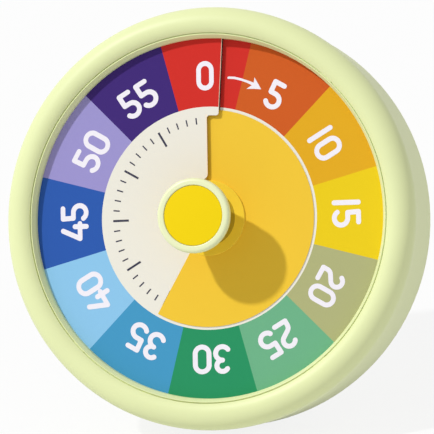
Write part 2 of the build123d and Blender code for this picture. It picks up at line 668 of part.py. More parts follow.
def make_dial_carrier():
    low_z = CARRIER_TOP_Z - CARRIER_T
    carrier = disc(CARRIER_R, low_z, CARRIER_TOP_Z)
    carrier += tube(CARRIER_R, RING_OUT_R + FIT, CARRIER_TOP_Z, RIM_BACK_Z)

    def bottom(angle):
        return CARRIER_TOP_Z

    def top(angle):
        return sheet_height(angle) - SHEET_T - SEAT_GAP

    seam = SEAM + SEAM_ROOM
    carrier += spiral_slab(RAMP_IN_R, RING_OUT_R, bottom, top, seam, seam + 180)
    carrier += spiral_slab(RAMP_IN_R, RING_OUT_R, bottom, top, seam + 180, 360 + SEAM - SEAM_ROOM)
    carrier -= disc(ARBOR_COLLAR_R, low_z, CARRIER_TOP_Z)
    for sx in (-1, 1):
        for sy in (-1, 1):
            carrier += disc(POST_R, MOVE_FRONT_Z, low_z, sx * MOVE_POST, sy * MOVE_POST)
            carrier -= disc(SCREW_R, MOVE_FRONT_Z, CARRIER_TOP_Z - SCREW_SKIN, sx * MOVE_POST,
                            sy * MOVE_POST)
    for angle in CASE_SCREW_ANGLES:
        p = clock_point(CASE_SCREW_R, angle)
        carrier -= disc(BOSS_R + BOSS_GAP, low_z, RIM_BACK_Z, p.X, p.Y)
    for angle in CARRIER_SCREW_ANGLES:
        p = clock_point(CASE_SCREW_R, angle)
        carrier -= disc(SCREW_R + SCREW_GAP, low_z, RIM_BACK_Z, p.X, p.Y)
    return carrier


def make_carrier_screws():
    seat = CARRIER_TOP_Z - CARRIER_T
    points = [clock_point(CASE_SCREW_R, a) for a in CARRIER_SCREW_ANGLES]
    return around(screw(p.X, p.Y, seat, RIM_BACK_Z + CARRIER_SCREW_GRIP) for p in points)


# ---- Movement

COLLAR_Z = MOVE_FRONT_Z - MOVE_WALL - COLLAR_GAP        # front of the arbor's collar
COLLAR_BACK_Z = COLLAR_Z - ARBOR_COLLAR_T
MINUTE_FRONT_Z = COLLAR_BACK_Z - SPRING_T
MINUTE_BACK_Z = MINUTE_FRONT_Z - MINUTE_T
CLIP_BACK_Z = MINUTE_BACK_Z - CLIP_T
INTER_Z = CLIP_BACK_Z - WHEEL_GAP                       # front faces of the next wheels
SECOND_Z = INTER_Z - WHEEL_T - SECOND_GAP
STEP_Z = SECOND_Z - WHEEL_T - WHEEL_GAP
MAGNET_Z = STEP_Z + PINION_OVER - PINION_T - MAGNET_GAP
STATOR_Z = MAGNET_Z - STATOR_SINK
CAVITY_FRONT_Z = MOVE_FRONT_Z - MOVE_WALL
CAVITY_BACK_Z = MOVE_BACK_Z + MOVE_WALL


def gear(teeth, module, low, high, centre, tooth_at):
    """A spur gear with radial flanks, with one tooth pointing in the direction tooth_at."""
    pitch_r = teeth * module / 2
    tip_r = pitch_r + 0.8 * module
    root_r = pitch_r - 1.15 * module
    share = 360 / teeth
    outline = []
    for i in range(teeth):
        middle = tooth_at + i * share
        for radius, side in ((root_r, -0.20), (pitch_r, -0.19), (tip_r, -0.08),
                             (tip_r, 0.08), (pitch_r, 0.19), (root_r, 0.20)):
            turn = math.radians(middle + side * share)
            outline.append((radius * math.cos(turn), radius * math.sin(turn)))
    face = make_face(Polyline(*outline, close=True))
    return Pos(centre[0], centre[1], low) * extrude(face, high - low)


def wheel_set(centre, wheel, wheel_z, wheel_dir, pinion, pinion_z, pinion_dir):
    """A wheel and its pinion on one pivoted staff. Each direction points at the mating gear."""
    wheel_teeth, wheel_module = wheel
    leaves, pinion_module = pinion
    turned = pinion_dir + 180 / leaves
    body = gear(wheel_teeth, wheel_module, wheel_z - WHEEL_T, wheel_z, centre, wheel_dir)
    low = pinion_z - PINION_T
    body += gear(leaves, pinion_module, low, pinion_z, centre, turned)
    root = leaves * pinion_module / 2 - 1.15 * pinion_module
    body += disc(root, min(wheel_z, pinion_z) - WHEEL_T, max(wheel_z, pinion_z), *centre)
    return body + pivot_staff(centre)


def pivot_staff(centre):
    return disc(PIVOT_R, CAVITY_BACK_Z - PIVOT_DEPTH, CAVITY_FRONT_Z + PIVOT_DEPTH, *centre)


def make_minute_wheel():
    wheel = gear(MINUTE_TEETH, MODULE_SLOW, MINUTE_BACK_Z, MINUTE_FRONT_Z, MINUTE_AT, INTER_DIR)
    wheel -= disc(ARBOR_R + SLIDE_FIT, MINUTE_BACK_Z, MINUTE_FRONT_Z)
    for i in range(MINUTE_HOLES):
        x, y = polar(MINUTE_AT, MINUTE_HOLE_CIRCLE, 360 / MINUTE_HOLES * i)
        wheel -= disc(MINUTE_HOLE_R, MINUTE_BACK_Z, MINUTE_FRONT_Z, x, y)
    return wheel


def make_intermediate_wheel():
    pinion_front = MINUTE_FRONT_Z + PINION_OVER
    body = wheel_set(INTER_AT, (INTER_TEETH, MODULE_FAST), INTER_Z, SECOND_DIR,
                     (INTER_LEAVES, MODULE_SLOW), pinion_front, INTER_DIR + 180)
    return body + gear(INTER_LEAVES, MODULE_SLOW, MINUTE_BACK_Z - PINION_OVER, pinion_front,
                       INTER_AT, INTER_DIR + 180 + 180 / INTER_LEAVES)


def make_second_wheel():
    return wheel_set(SECOND_AT, (SECOND_TEETH, MODULE_FAST), SECOND_Z, STEP_DIR,
                     (SECOND_LEAVES, MODULE_FAST), INTER_Z + PINION_OVER, SECOND_DIR + 180)


def make_step_wheel():
    return wheel_set(STEP_AT, (STEP_TEETH, MODULE_FAST), STEP_Z, ROTOR_DIR,
                     (STEP_LEAVES, MODULE_FAST), SECOND_Z + PINION_OVER, STEP_DIR + 180)


def make_rotor():
    turned = ROTOR_DIR + 180 + 180 / ROTOR_LEAVES
    high = STEP_Z + PINION_OVER
    body = gear(ROTOR_LEAVES, MODULE_FAST, high - PINION_T, high, ROTOR_AT, turned)
    body += disc(MAGNET_R, MAGNET_Z - MAGNET_T, MAGNET_Z, *ROTOR_AT)
    return body + pivot_staff(ROTOR_AT)


def pivot_holes():
    holes = None
    for centre in (INTER_AT, SECOND_AT, STEP_AT, ROTOR_AT):
        hole = disc(PIVOT_R + SLIDE_FIT, CAVITY_BACK_Z - PIVOT_DEPTH - PIVOT_END_GAP,
                    CAVITY_FRONT_Z + PIVOT_DEPTH + PIVOT_END_GAP, *centre)
        holes = hole if holes is None else holes + hole
    return holes


def movement_half(low, high, cavity_low, cavity_high):
    """One half of the movement's box, with its screw posts left standing in the corners."""
    half = MOVE_SIZE / 2
    shell = block(-half, half, -half, half, low, high)
    shell = fillet(shell.edges().filter_by(Axis.Z), MOVE_CORNER)
    inner = half - MOVE_WALL
    shell -= block(-inner, inner, -inner, inner, cavity_low, cavity_high)
    for sx in (-1, 1):
        for sy in (-1, 1):
            x, y = sx * MOVE_POST, sy * MOVE_POST
            shell += disc(POST_R, low, high, x, y)
            shell -= disc(SCREW_R + SCREW_GAP, low, high, x, y)
    return shell - pivot_holes()


def make_movement_front():
    shell = movement_half(MOVE_SPLIT_Z, MOVE_FRONT_Z, MOVE_SPLIT_Z, CAVITY_FRONT_Z)
    return shell - disc(ARBOR_R + SLIDE_FIT, MOVE_SPLIT_Z, MOVE_FRONT_Z)


def make_movement_cover():
    shell = movement_half(MOVE_BACK_Z, MOVE_SPLIT_Z, CAVITY_BACK_Z, MOVE_SPLIT_Z)
    tail_end = CAVITY_BACK_Z - ARBOR_TAIL - 2 * PIVOT_END_GAP
    return shell - disc(ARBOR_TAIL_R + SLIDE_FIT, tail_end, MOVE_SPLIT_Z)


def make_movement_screws():
    spots = [(sx * MOVE_POST, sy * MOVE_POST) for sx in (-1, 1) for sy in (-1, 1)]
    return around(screw(x, y, MOVE_BACK_Z, CARRIER_TOP_Z - MOVE_SCREW_END) for x, y in spots)


def make_stator():
    """Iron plate around the rotor's magnet, with a core that runs through the coil."""
    low = STATOR_Z - STATOR_T
    x, y = ROTOR_AT
    legs_x = COIL_LEN / 2 + STATOR_LEG_OUT
    leg_x = legs_x - STATOR_LEG_W
    leg_y = COIL_Y + STATOR_LEG_UP
    core = STATOR_CORE_W / 2
    plate = block(-legs_x, legs_x, y - STATOR_HALF_W, y + STATOR_HALF_W, low, STATOR_Z)
    plate += block(-legs_x, -leg_x, y, leg_y, low, STATOR_Z)
    plate += block(leg_x, legs_x, y, leg_y, low, STATOR_Z)
    plate += block(-legs_x, legs_x, COIL_Y - core, COIL_Y + core, low, STATOR_Z)
    plate -= disc(MAGNET_R + STATOR_GAP, low, STATOR_Z, x, y)
    for centre in (SECOND_AT, STEP_AT):
        plate -= disc(PIVOT_R + STATOR_GAP, low, STATOR_Z, *centre)
    return plate


def make_coil():
    middle_z = STATOR_Z - STATOR_T / 2
    length = COIL_LEN / 2 - OVERCUT
    coil = Pos(0, COIL_Y, middle_z) * Rot(0, 90, 0) * Cylinder(
        COIL_R - COIL_FLANGE_OVER, 2 * (length - COIL_FLANGE_T))
    for side in (-1, 1):
        flange = Pos(side * (length - COIL_FLANGE_T / 2), COIL_Y, middle_z) * Rot(0, 90, 0)
        coil += flange * Cylinder(COIL_R, COIL_FLANGE_T)
    core = STATOR_CORE_W / 2 + COIL_FIT
    return coil - block(-length, length, COIL_Y - core, COIL_Y + core,
                        STATOR_Z - STATOR_T - COIL_FIT, STATOR_Z + COIL_FIT)


# ---- Arbor and knob

def make_arbor():
    root_z = MOVE_FRONT_Z + HEX_ROOT
    shoulder_z = CAVITY_BACK_Z + ARBOR_END_GAP
    bar = hexagon_bar(HEX_AF, root_z, KNOB_TOP_Z - KNOB_CORE - HEX_SHORT)
    bar += disc(ARBOR_R, shoulder_z, root_z)
    bar += disc(ARBOR_COLLAR_R, COLLAR_BACK_Z, COLLAR_Z)
    bar += disc(ARBOR_TAIL_R, CAVITY_BACK_Z - ARBOR_TAIL, shoulder_z)
    return bar - tube(ARBOR_R + OVERCUT, ARBOR_R - CLIP_GROOVE, CLIP_BACK_Z, MINUTE_BACK_Z)


def make_clutch_spring():
    """A dished washer that presses the minute wheel against the clip."""
    r_in = ARBOR_R + FIT
    r_out = ARBOR_COLLAR_R - 2 * FIT
    t = SPRING_SHEET
    return revolved(Polyline((r_in, COLLAR_BACK_Z), (r_out, MINUTE_FRONT_Z + t),
                             (r_out, MINUTE_FRONT_Z), (r_in, COLLAR_BACK_Z - t), close=True))


def make_arbor_clip():
    ring = tube(ARBOR_COLLAR_R, ARBOR_R - CLIP_GROOVE, CLIP_BACK_Z, MINUTE_BACK_Z - CLIP_GAP)
    return ring - block(-CLIP_MOUTH, CLIP_MOUTH, 0, ARBOR_COLLAR_R + OVERCUT, CLIP_BACK_Z,
                        MINUTE_BACK_Z)


def make_knob_body():
    """A cone from the foot to the grip, and the cap inside the rim, in one piece."""
    face_z = KNOB_TOP_Z - CAP_SINK
    low = KNOB_FLARE_Z + KNOB_BEVEL
    knob = revolved(Polyline((0, KNOB_FOOT_Z), (KNOB_FOOT_R, KNOB_FOOT_Z),
                             (GRIP_R - KNOB_FLARE_IN, KNOB_FLARE_Z), (GRIP_R, low),
                             (GRIP_R, KNOB_SEAT_Z), (CAP_R, KNOB_SEAT_Z), (CAP_R, face_z),
                             (0, face_z), close=True))
    knob = fillet(knob.faces().sort_by(Axis.Z)[-1].edges(), CAP_EDGE)
    for up in KNOB_GROOVES:
        knob -= tube(GRIP_R + OVERCUT, GRIP_R - KNOB_GROOVE_DEPTH, low + up,
                     low + up + KNOB_GROOVE_H)
    return knob - hexagon_bar(HEX_AF, KNOB_FOOT_Z, KNOB_TOP_Z - KNOB_CORE)


def make_knob_rim():
    rim = tube(KNOB_R, CAP_R + FIT, KNOB_SEAT_Z, KNOB_TOP_Z)
    rim = fillet(circle_at(rim, KNOB_R, KNOB_TOP_Z), RIM_EDGE)
    rim = fillet(circle_at(rim, KNOB_R, KNOB_SEAT_Z), RIM_FOOT_EDGE)
    return fillet(circle_at(rim, CAP_R + FIT, KNOB_TOP_Z), RIM_MOUTH_EDGE)


def circle_at(shape, radius, height):
    """The round edge of a radius nearest to a height."""
    circles = [e for e in shape.edges().filter_by(GeomType.CIRCLE)
               if abs(e.radius - radius) < 0.001]
    return min(circles, key=lambda e: abs(e.center().Z - height))


# ---- Stand

def stand_pin_rod(radius):
    length = 2 * (TRAY_HALF_W + TRAY_WALL)
    return Pos(0, HINGE_Y, HINGE_Z) * Rot(0, 90, 0) * Cylinder(radius, length)


def opened(shape, angle=OPEN_ANGLE):
    """Swings a piece of the folded leg out about its hinge."""
    hinge = Pos(0, HINGE_Y, HINGE_Z)
    return hinge * Rot(angle, 0, 0) * hinge.inverse() * shape


def foot_pad_solid():
    middle = Pos(0, HINGE_Y - LEG_LEN, HINGE_Z)
    return middle * Rot(0, 90, 0) * Cylinder(PAD_R, LEG_W - 2 * PAD_SHORT)


def folded_leg():
    low = BACK_Z + LEG_SUNK
    high = low + LEG_T
    end_y = HINGE_Y - LEG_LEN + LEG_END_SHORT
    leg = block(-LEG_W / 2, LEG_W / 2, end_y, HINGE_Y + HEEL, low, high)
    leg = fillet(leg.edges().filter_by(Axis.Z).sort_by(Axis.Y)[:2], LEG_CORNER)
    leg = chamfer(leg.faces().sort_by(Axis.Z)[0].edges(), LEG_EDGE)
    panel = Rectangle(LEG_W - 2 * LEG_BORDER, HINGE_Y - end_y - LEG_PANEL_TOP - LEG_BORDER)
    panel = fillet(panel.vertices(), LEG_PANEL_CORNER)
    middle_y = (HINGE_Y - LEG_PANEL_TOP + end_y + LEG_BORDER) / 2
    leg -= Pos(0, middle_y, low) * extrude(panel, LEG_PANEL_DEPTH)
    return leg - stand_pin_rod(PIN_R + PIN_FIT)


def make_stand_leg():
    return opened(folded_leg() - foot_pad_solid())


def make_stand_foot_pad():
    return opened(foot_pad_solid())


# ---- Battery and its door

def make_battery_cell():
    low_y = BAY_LOW_Y + CONTACT_T + SPRING_LEN
    along = Pos(BAY_X, low_y, CELL_Z) * Rot(-90, 0, 0)
    cell = along * Cylinder(CELL_R, CELL_LEN, align=CENTRED)
    cell = fillet(cell.edges().filter_by(GeomType.CIRCLE), CELL_EDGE)
    return cell + along * Pos(0, 0, CELL_LEN) * Cylinder(NUB_R, NUB_LEN, align=CENTRED)


def contact_plate(low_y):
    half = BAY_W / 2 - CONTACT_SHORT
    return block(BAY_X - half, BAY_X + half, low_y, low_y + CONTACT_T, CELL_Z - half, CELL_Z + half)


def make_battery_contact_minus():
    height = SPRING_LEN - 2 * SPRING_WIRE_R
    coil = Helix(pitch=height / SPRING_TURNS, height=height, radius=SPRING_COIL_R)
    section = Plane(coil @ 0, z_dir=coil % 0) * Circle(SPRING_WIRE_R)
    spring = sweep(section, path=coil, is_frenet=True)
    foot_y = BAY_LOW_Y + CONTACT_T + SPRING_WIRE_R - SPRING_SINK
    stand = Pos(BAY_X, foot_y, CELL_Z) * Rot(-90, 0, 0)
    return contact_plate(BAY_LOW_Y) + stand * spring


def make_battery_contact_plus():
    low_y = BAY_HIGH_Y - CONTACT_T
    return contact_plate(low_y)


def door_pivots(radius, extra=0.0):
    length = 2 * (DOOR_HALF_W + DOOR_GAP + NUB_PIVOT_LEN + extra)
    return Pos(BAY_X, DOOR_HINGE_Y, DOOR_HINGE_Z) * Rot(0, 90, 0) * Cylinder(radius, length)


def make_battery_door():
    low = BACK_Z
    high = BACK_Z + DOOR_T
    end_y = BAY_HIGH_Y + DOOR_LAP
    door = block(BAY_X - DOOR_HALF_W, BAY_X + DOOR_HALF_W, DOOR_HINGE_Y, end_y, low, high)
    door += Pos(BAY_X, DOOR_HINGE_Y, DOOR_HINGE_Z) * Rot(0, 90, 0) * Cylinder(
        DOOR_T / 2, 2 * DOOR_HALF_W)
    door += door_pivots(NUB_PIVOT_R)
    for i in range(GRIP_COUNT):
        y = end_y - GRIP_START - GRIP_PITCH * i
        door -= block(BAY_X - GRIP_HALF_W, BAY_X + GRIP_HALF_W, y - GRIP_HALF_H, y + GRIP_HALF_H,
                      low, low + GRIP_DEPTH)
    return door


# ---- Board, buzzer and volume switch

def make_circuit_board():
    board = block(BOARD_X - BOARD_W / 2, BOARD_X + BOARD_W / 2, BOARD_Y - BOARD_H / 2,
                  BOARD_Y + BOARD_H / 2, BOARD_Z, BOARD_Z + BOARD_T)
    board = fillet(board.edges().filter_by(Axis.Z), BOARD_CORNER)
    for x, y in BOARD_POSTS:
        board -= disc(SCREW_R + SCREW_GAP, BOARD_Z, BOARD_Z + BOARD_T, x, y)
    return board


def make_board_screws():
    """Short screws from the front of the board into the posts of the rear case."""
    seat = BOARD_Z + BOARD_T
    flip = Rot(180, 0, 0)
    reach = BOARD_T + BOARD_SCREW_GRIP
    return around(Pos(x, y, seat) * flip * screw(0, 0, 0, reach) for x, y in BOARD_POSTS)


def make_driver_chip():
    top = BOARD_Z + BOARD_T
    blob = disc(CHIP_R, top, top + CHIP_H, BOARD_X + CHIP_AT[0], BOARD_Y + CHIP_AT[1])
    return fillet(blob.faces().sort_by(Axis.Z)[-1].edges(), CHIP_EDGE)


def make_crystal():
    middle = Pos(BOARD_X + CRYSTAL_AT[0], BOARD_Y + CRYSTAL_AT[1], BOARD_Z + BOARD_T + CRYSTAL_R)
    return middle * Rot(90, 0, 0) * Cylinder(CRYSTAL_R, CRYSTAL_LEN)


def make_buzzer():
    low = BACK_Z + BACK_WALL + BUZZER_GAP
    body = disc(BUZZER_R, low, BOARD_Z, BOARD_X, BUZZER_AT_Y)
    body = fillet(body.faces().sort_by(Axis.Z)[0].edges(), BUZZER_EDGE)
    return body - disc(BUZZER_MOUTH_R, low, low + BUZZER_MOUTH_DEPTH, BOARD_X, BUZZER_AT_Y)


def switch_stem(grow, low, high):
    half_y = SLIDER_H / 2 - STEM_SHORT + grow * (SLIDER_TRAVEL + SLOT_GAP)
    half_x = STEM_HALF_W + grow * SLOT_GAP
    return block(BOARD_X - half_x, BOARD_X + half_x, SWITCH_AT_Y - half_y, SWITCH_AT_Y + half_y,
                 low, high)


def make_switch_body():
    body = block(BOARD_X - SWITCH_W / 2, BOARD_X + SWITCH_W / 2, SWITCH_AT_Y - SWITCH_H / 2,
                 SWITCH_AT_Y + SWITCH_H / 2, SWITCH_LOW_Z, BOARD_Z)
    return body - switch_stem(1, SWITCH_LOW_Z, SWITCH_LOW_Z + SWITCH_CAVITY)


def make_volume_slider():
    high = SWITCH_LOW_Z - SLIDER_OVER_GAP
    thumb = block(BOARD_X - SLIDER_W / 2, BOARD_X + SLIDER_W / 2, SWITCH_AT_Y - SLIDER_H / 2,
                  SWITCH_AT_Y + SLIDER_H / 2, SLIDER_LOW_Z, high)
    for i in SLIDER_RIDGES:
        y = SWITCH_AT_Y + SLIDER_RIDGE_PITCH * i
        thumb -= block(BOARD_X - SLIDER_W / 2, BOARD_X + SLIDER_W / 2, y - SLIDER_RIDGE_HALF,
                       y + SLIDER_RIDGE_HALF, SLIDER_LOW_Z, SLIDER_LOW_Z + SLIDER_RIDGE_DEPTH)
    return thumb + switch_stem(0, high, SWITCH_LOW_Z + STEM_DEPTH)


# ---- Stance: lean every piece back and stand it on the floor, centred on its box

FOOT_Y = -HINGE_Z * math.cos(LEAN_RAD) + HINGE_Y * math.sin(LEAN_RAD) + LEG_LEN * math.sin(
    math.radians(LEG_SLANT))
FRONT_MOST = -RIM_R * math.sin(LEAN_RAD) - SIDE_Z * math.cos(LEAN_RAD) - RIM_OUT
REAR_MOST = max(FOOT_Y + PAD_R,
                EDGE_CENTRE_R * math.sin(LEAN_RAD) - EDGE_CENTRE_Z * math.cos(LEAN_RAD) + EDGE_R)
PLACE = Pos(0, -(FRONT_MOST + REAR_MOST) / 2, AXIS_HEIGHT) * Rot(90 - LEAN, 0, 0)

NODES = {
    "front_bezel": make_front_bezel,
    "rear_case": make_rear_case,
    "case_screws": make_case_screws,
    "retaining_ring": make_retaining_ring,
    "dial_carrier": make_dial_carrier,
    "carrier_screws": make_carrier_screws,
    "dial_sheet": make_dial_sheet,
    "film_disc": make_film_disc,
    "film_hub": make_film_hub,
    "knob_body": make_knob_body,
    "knob_rim": make_knob_rim,
    "drive_arbor": make_arbor,
    "clutch_spring": make_clutch_spring,
    "arbor_clip": make_arbor_clip,
    "movement_front": make_movement_front,
    "movement_cover": make_movement_cover,
    "movement_screws": make_movement_screws,
    "minute_wheel": make_minute_wheel,
    "intermediate_wheel": make_intermediate_wheel,
    "second_wheel": make_second_wheel,
    "step_wheel": make_step_wheel,
    "rotor": make_rotor,
    "stator": make_stator,
    "coil": make_coil,
    "circuit_board": make_circuit_board,
    "board_screws": make_board_screws,
    "driver_chip": make_driver_chip,
    "crystal": make_crystal,
    "buzzer": make_buzzer,
    "switch_body": make_switch_body,
    "volume_slider": make_volume_slider,
    "battery_cell": make_battery_cell,
    "battery_contact_minus": make_battery_contact_minus,
    "battery_contact_plus": make_battery_contact_plus,
    "battery_door": make_battery_door,
    "stand_leg": make_stand_leg,
    "stand_pin": lambda: stand_pin_rod(PIN_R),
    "stand_foot_pad": make_stand_foot_pad,
}


def print_place(name, x, y, z):
    p = (PLACE * Pos(x, y, z)).position
    print(f"place {name} {p.X:.5f} {p.Y:.5f} {p.Z:.5f}")


def main():
    os.makedirs("parts", exist_ok=True)
    for name, make in NODES.items():
        export_step(PLACE * make(), f"parts/{name}.step")
    outward = (PLACE * Pos(0, 0, 1)).position - PLACE.position
    upward = (PLACE * Pos(0, 1, 0)).position - PLACE.position
    print("axis outward", tuple(round(v, 8) for v in outward))
    print("axis upward", tuple(round(v, 8) for v in upward))
    print("open angle", round(OPEN_ANGLE, 4), "slant", round(LEG_SLANT, 4))
    print_place("dial", 0, 0, 0)
    print_place("stand_hinge", 0, HINGE_Y, HINGE_Z)
    print_place("door_hinge", BAY_X, DOOR_HINGE_Y, DOOR_HINGE_Z)
    print_place("keyhole", 0, KEYHOLE_Y, BACK_Z + BACK_WALL / 2)
    for name, centre in (("intermediate", INTER_AT), ("second", SECOND_AT), ("step", STEP_AT),
                         ("rotor", ROTOR_AT)):
        print_place(name, centre[0], centre[1], MOVE_SPLIT_Z)


main()
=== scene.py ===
"""A round countdown timer: a coloured minute dial, a slit disc that rises through it, a knob, the
lime case and what is inside it. Every shape is drawn in the dial's own frame, in millimetres, with
X to the right, Y up the dial and Z out of it, and is then moved onto the timer."""

import json
import math
from types import SimpleNamespace

import bmesh
import bpy
import numpy as np
from bpy.props import (BoolProperty, FloatProperty, FloatVectorProperty, IntProperty,
                       PointerProperty)
from mathutils import Matrix, Vector


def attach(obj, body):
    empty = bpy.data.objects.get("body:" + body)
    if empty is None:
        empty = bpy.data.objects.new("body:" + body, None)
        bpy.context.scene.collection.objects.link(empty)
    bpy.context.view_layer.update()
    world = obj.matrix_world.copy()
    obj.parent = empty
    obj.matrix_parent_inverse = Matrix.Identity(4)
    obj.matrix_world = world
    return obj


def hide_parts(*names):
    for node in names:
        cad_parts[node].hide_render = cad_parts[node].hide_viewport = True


bl_info = {
    "name": "Countdown Timer",
    "version": (1, 0, 0),
    "blender": (4, 5, 0),
    "location": "3D View > Sidebar > Timer",
    "description": "Builds the visible pieces, the finishes and the stage of a countdown timer",
    "category": "Object",
}

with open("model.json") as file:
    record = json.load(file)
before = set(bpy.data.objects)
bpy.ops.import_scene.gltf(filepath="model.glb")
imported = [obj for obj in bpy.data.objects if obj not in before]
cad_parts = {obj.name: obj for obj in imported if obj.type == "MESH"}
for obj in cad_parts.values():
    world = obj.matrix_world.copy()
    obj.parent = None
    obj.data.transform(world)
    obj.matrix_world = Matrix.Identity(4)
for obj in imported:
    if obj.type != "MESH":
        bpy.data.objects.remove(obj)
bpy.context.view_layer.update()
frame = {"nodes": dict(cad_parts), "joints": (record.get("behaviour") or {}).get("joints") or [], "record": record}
MM = 0.001


# ---- The dial's own frame, from the joints of the timer

def joint(name):
    return next(j for j in frame["joints"] if j["name"] == name)


def dial_frame():
    """Turns millimetres in the dial's frame into metres on the timer."""
    out = Vector(joint("knob_turn")["axis"]).normalized()
    right = Vector((1, 0, 0))
    turn = Matrix((right, out.cross(right), out)).transposed().to_4x4()
    return Matrix.Translation(joint("knob_turn")["pos_m"]) @ turn @ Matrix.Scale(MM, 4)


DIAL = dial_frame()
RIGHT, UP, OUT = (DIAL.to_3x3().col[i] / MM for i in range(3))


def film_rise():
    """How far the disc rises over one turn of the knob, in millimetres."""
    couplings = frame["record"]["behaviour"]["couplings"]
    ratio = next(c["ratio"] for c in couplings if c["joint"] == "film_ride")
    return abs(ratio) * 2 * math.pi / MM


def dial_extent(node):
    """Lowest and highest corner of a CAD node in the dial's frame, in millimetres."""
    inverse = np.array(DIAL.inverted())
    mesh = frame["nodes"][node].data
    points = np.empty(len(mesh.vertices) * 3)
    mesh.vertices.foreach_get("co", points)
    points = points.reshape(-1, 3) @ inverse[:3, :3].T + inverse[:3, 3]
    return points.min(0), points.max(0)


def extent_radius(node):
    low, high = dial_extent(node)
    return (high[0] - low[0]) / 2


def extent_top(node):
    return dial_extent(node)[1][2]


def extent_bottom(node):
    return dial_extent(node)[0][2]


# ---- Sizes and colours that a user may change

def number(name, description, value, unit="NONE", **more):
    return FloatProperty(name=name, description=description, default=value, unit=unit, **more)


def length(name, description, millimetres):
    return number(name, description, millimetres * MM, "LENGTH", precision=5)


def angle(name, description, degrees):
    return number(name, description, math.radians(degrees), "ROTATION")


def linear(value):
    """One channel of a colour as seen on a screen, 0 to 255, as linear light."""
    share = value / 255
    return share / 12.92 if share <= 0.04045 else ((share + 0.055) / 1.055) ** 2.4


def screen(red, green, blue):
    return tuple(linear(v) for v in (red, green, blue))


def colour(name, description, red, green, blue):
    return FloatVectorProperty(name=name, description=description, subtype="COLOR", size=3, min=0,
                               max=1, default=screen(red, green, blue))


class CaseSettings(bpy.types.PropertyGroup):
    radius: length("Radius", "Side wall of the front bezel", extent_radius("front_bezel"))
    crest: length("Crest", "Highest point of the rounded rim", extent_top("front_bezel"))
    crest_radius: length("Crest radius", "Radius at which the rim is highest", 82.8)
    inner_radius: length("Inner radius", "Inner edge of the rim", 78.7)
    inner_height: length("Inner height", "Height of the rim at its inner edge", 5.7)
    under: length("Underside", "Height of the rim's flat underside", -1.0)
    parting: length("Parting", "Height at which bezel and rear case meet", -3.2)
    boss_end: length("Boss end", "Height at which the screw bosses end", -13.7)
    boss_circle: length("Boss circle", "Circle of the case and the carrier screws", 83.0)
    boss_radius: length("Boss radius", "Bosses of the case screws", 3.0)
    wall: length("Wall", "Wall of the bezel", 2.4)
    soft: length("Soft edge", "Rounding of the bezel at the parting line", 0.3)
    ring_outer: length("Ring outer radius", "Retaining ring", 78.35)
    ring_inner: length("Ring inner radius", "Retaining ring", 76.5)
    ring_foot: length("Ring foot", "Height from which the ring's inner wall leans out", 1.4)
    ring_lip: length("Ring lip", "Height at which the wall turns into the cone", 3.3)
    ring_lean: length("Ring lean", "How far the wall leans out up to there", 0.15)
    ring_top: length("Ring top", "Height of the retaining ring", 5.5)
    ring_edge: length("Ring edge", "Rounding of the retaining ring", 0.3)
    groove: length("Groove", "Depth of the groove between ring and bezel", 0.62)
    groove_floor: length("Groove floor", "Thickness of the groove's floor", 0.3)
    tab_width: length("Tab width", "Latches of the ring in the groove", 6.0)
    tab_thick: length("Tab thickness", "Latches of the ring in the groove", 0.5)
    lime: colour("Lime", "Colour of the case", 226, 233, 177)


class DialSettings(bpy.types.PropertyGroup):
    rise: length("Rise", "Rise of the dial over one turn", film_rise())
    radius: length("Radius", "Rim of the dial", 78.1)
    centre_radius: length("Centre radius", "Plain centre inside the coloured sectors", 47.4)
    slit: length("Slit", "Inner slit beside the axis", 0.25)
    jog_radius: length("Jog radius", "Where the slit jogs aside", 43.75)
    jog: length("Jog", "Outer slit beside the axis, where the slit jogs aside", 5.45)
    lean: angle("Lean", "Lean of the outer slit", 3.7)
    print_margin: length("Print margin", "Bare margin beside the slit's inner raised edge", 0.5)
    outer_margin: length("Outer margin", "Bare margin beside the slit's outer raised edge", 0.17)
    numeral_radius: length("Numeral radius", "Middle of the numerals", 60.4)
    numeral_height: length("Numeral height", "Height of the numerals", 12.55)
    stroke: length("Stroke", "Width of the numerals' stroke", 2.05)
    print_height: length("Print height", "How far the print stands on the dial", 0.05)
    print_sink: length("Print sink", "How far the print reaches into the dial", 0.02)
    tick_radius: length("Tick radius", "Outer end of the ticks", 42.6)
    tick_long: length("Long tick", "Length of each fifth tick", 7.0)
    tick_short: length("Short tick", "Length of the other ticks", 2.8)
    tick_wide: length("Wide tick", "Width of each fifth tick", 0.9)
    tick_thin: length("Thin tick", "Width of the other ticks", 0.56)
    tick_right: length("Ticks right", "Tick circle right of the axis", 0.27)
    tick_up: length("Ticks up", "Tick circle above the axis", 0.42)
    tick_turn: angle("Tick turn", "Tick circle turned back", 0.54)
    centre: colour("Centre", "Plain centre of the dial", 235, 232, 221)
    cream: colour("Cream", "Bare margins of the sheet and the disc's cut edges", 246, 228, 204)
    # The cut edges' dark brown is painted shade on the sheet's cut faces.
    edge: colour("Edge", "Cut edges of the sheet", 150, 112, 66)
    ink: colour("Ink", "Print of the ticks", 24, 22, 54)
    numerals: colour("Numerals", "Print of the numerals", 238, 234, 243)


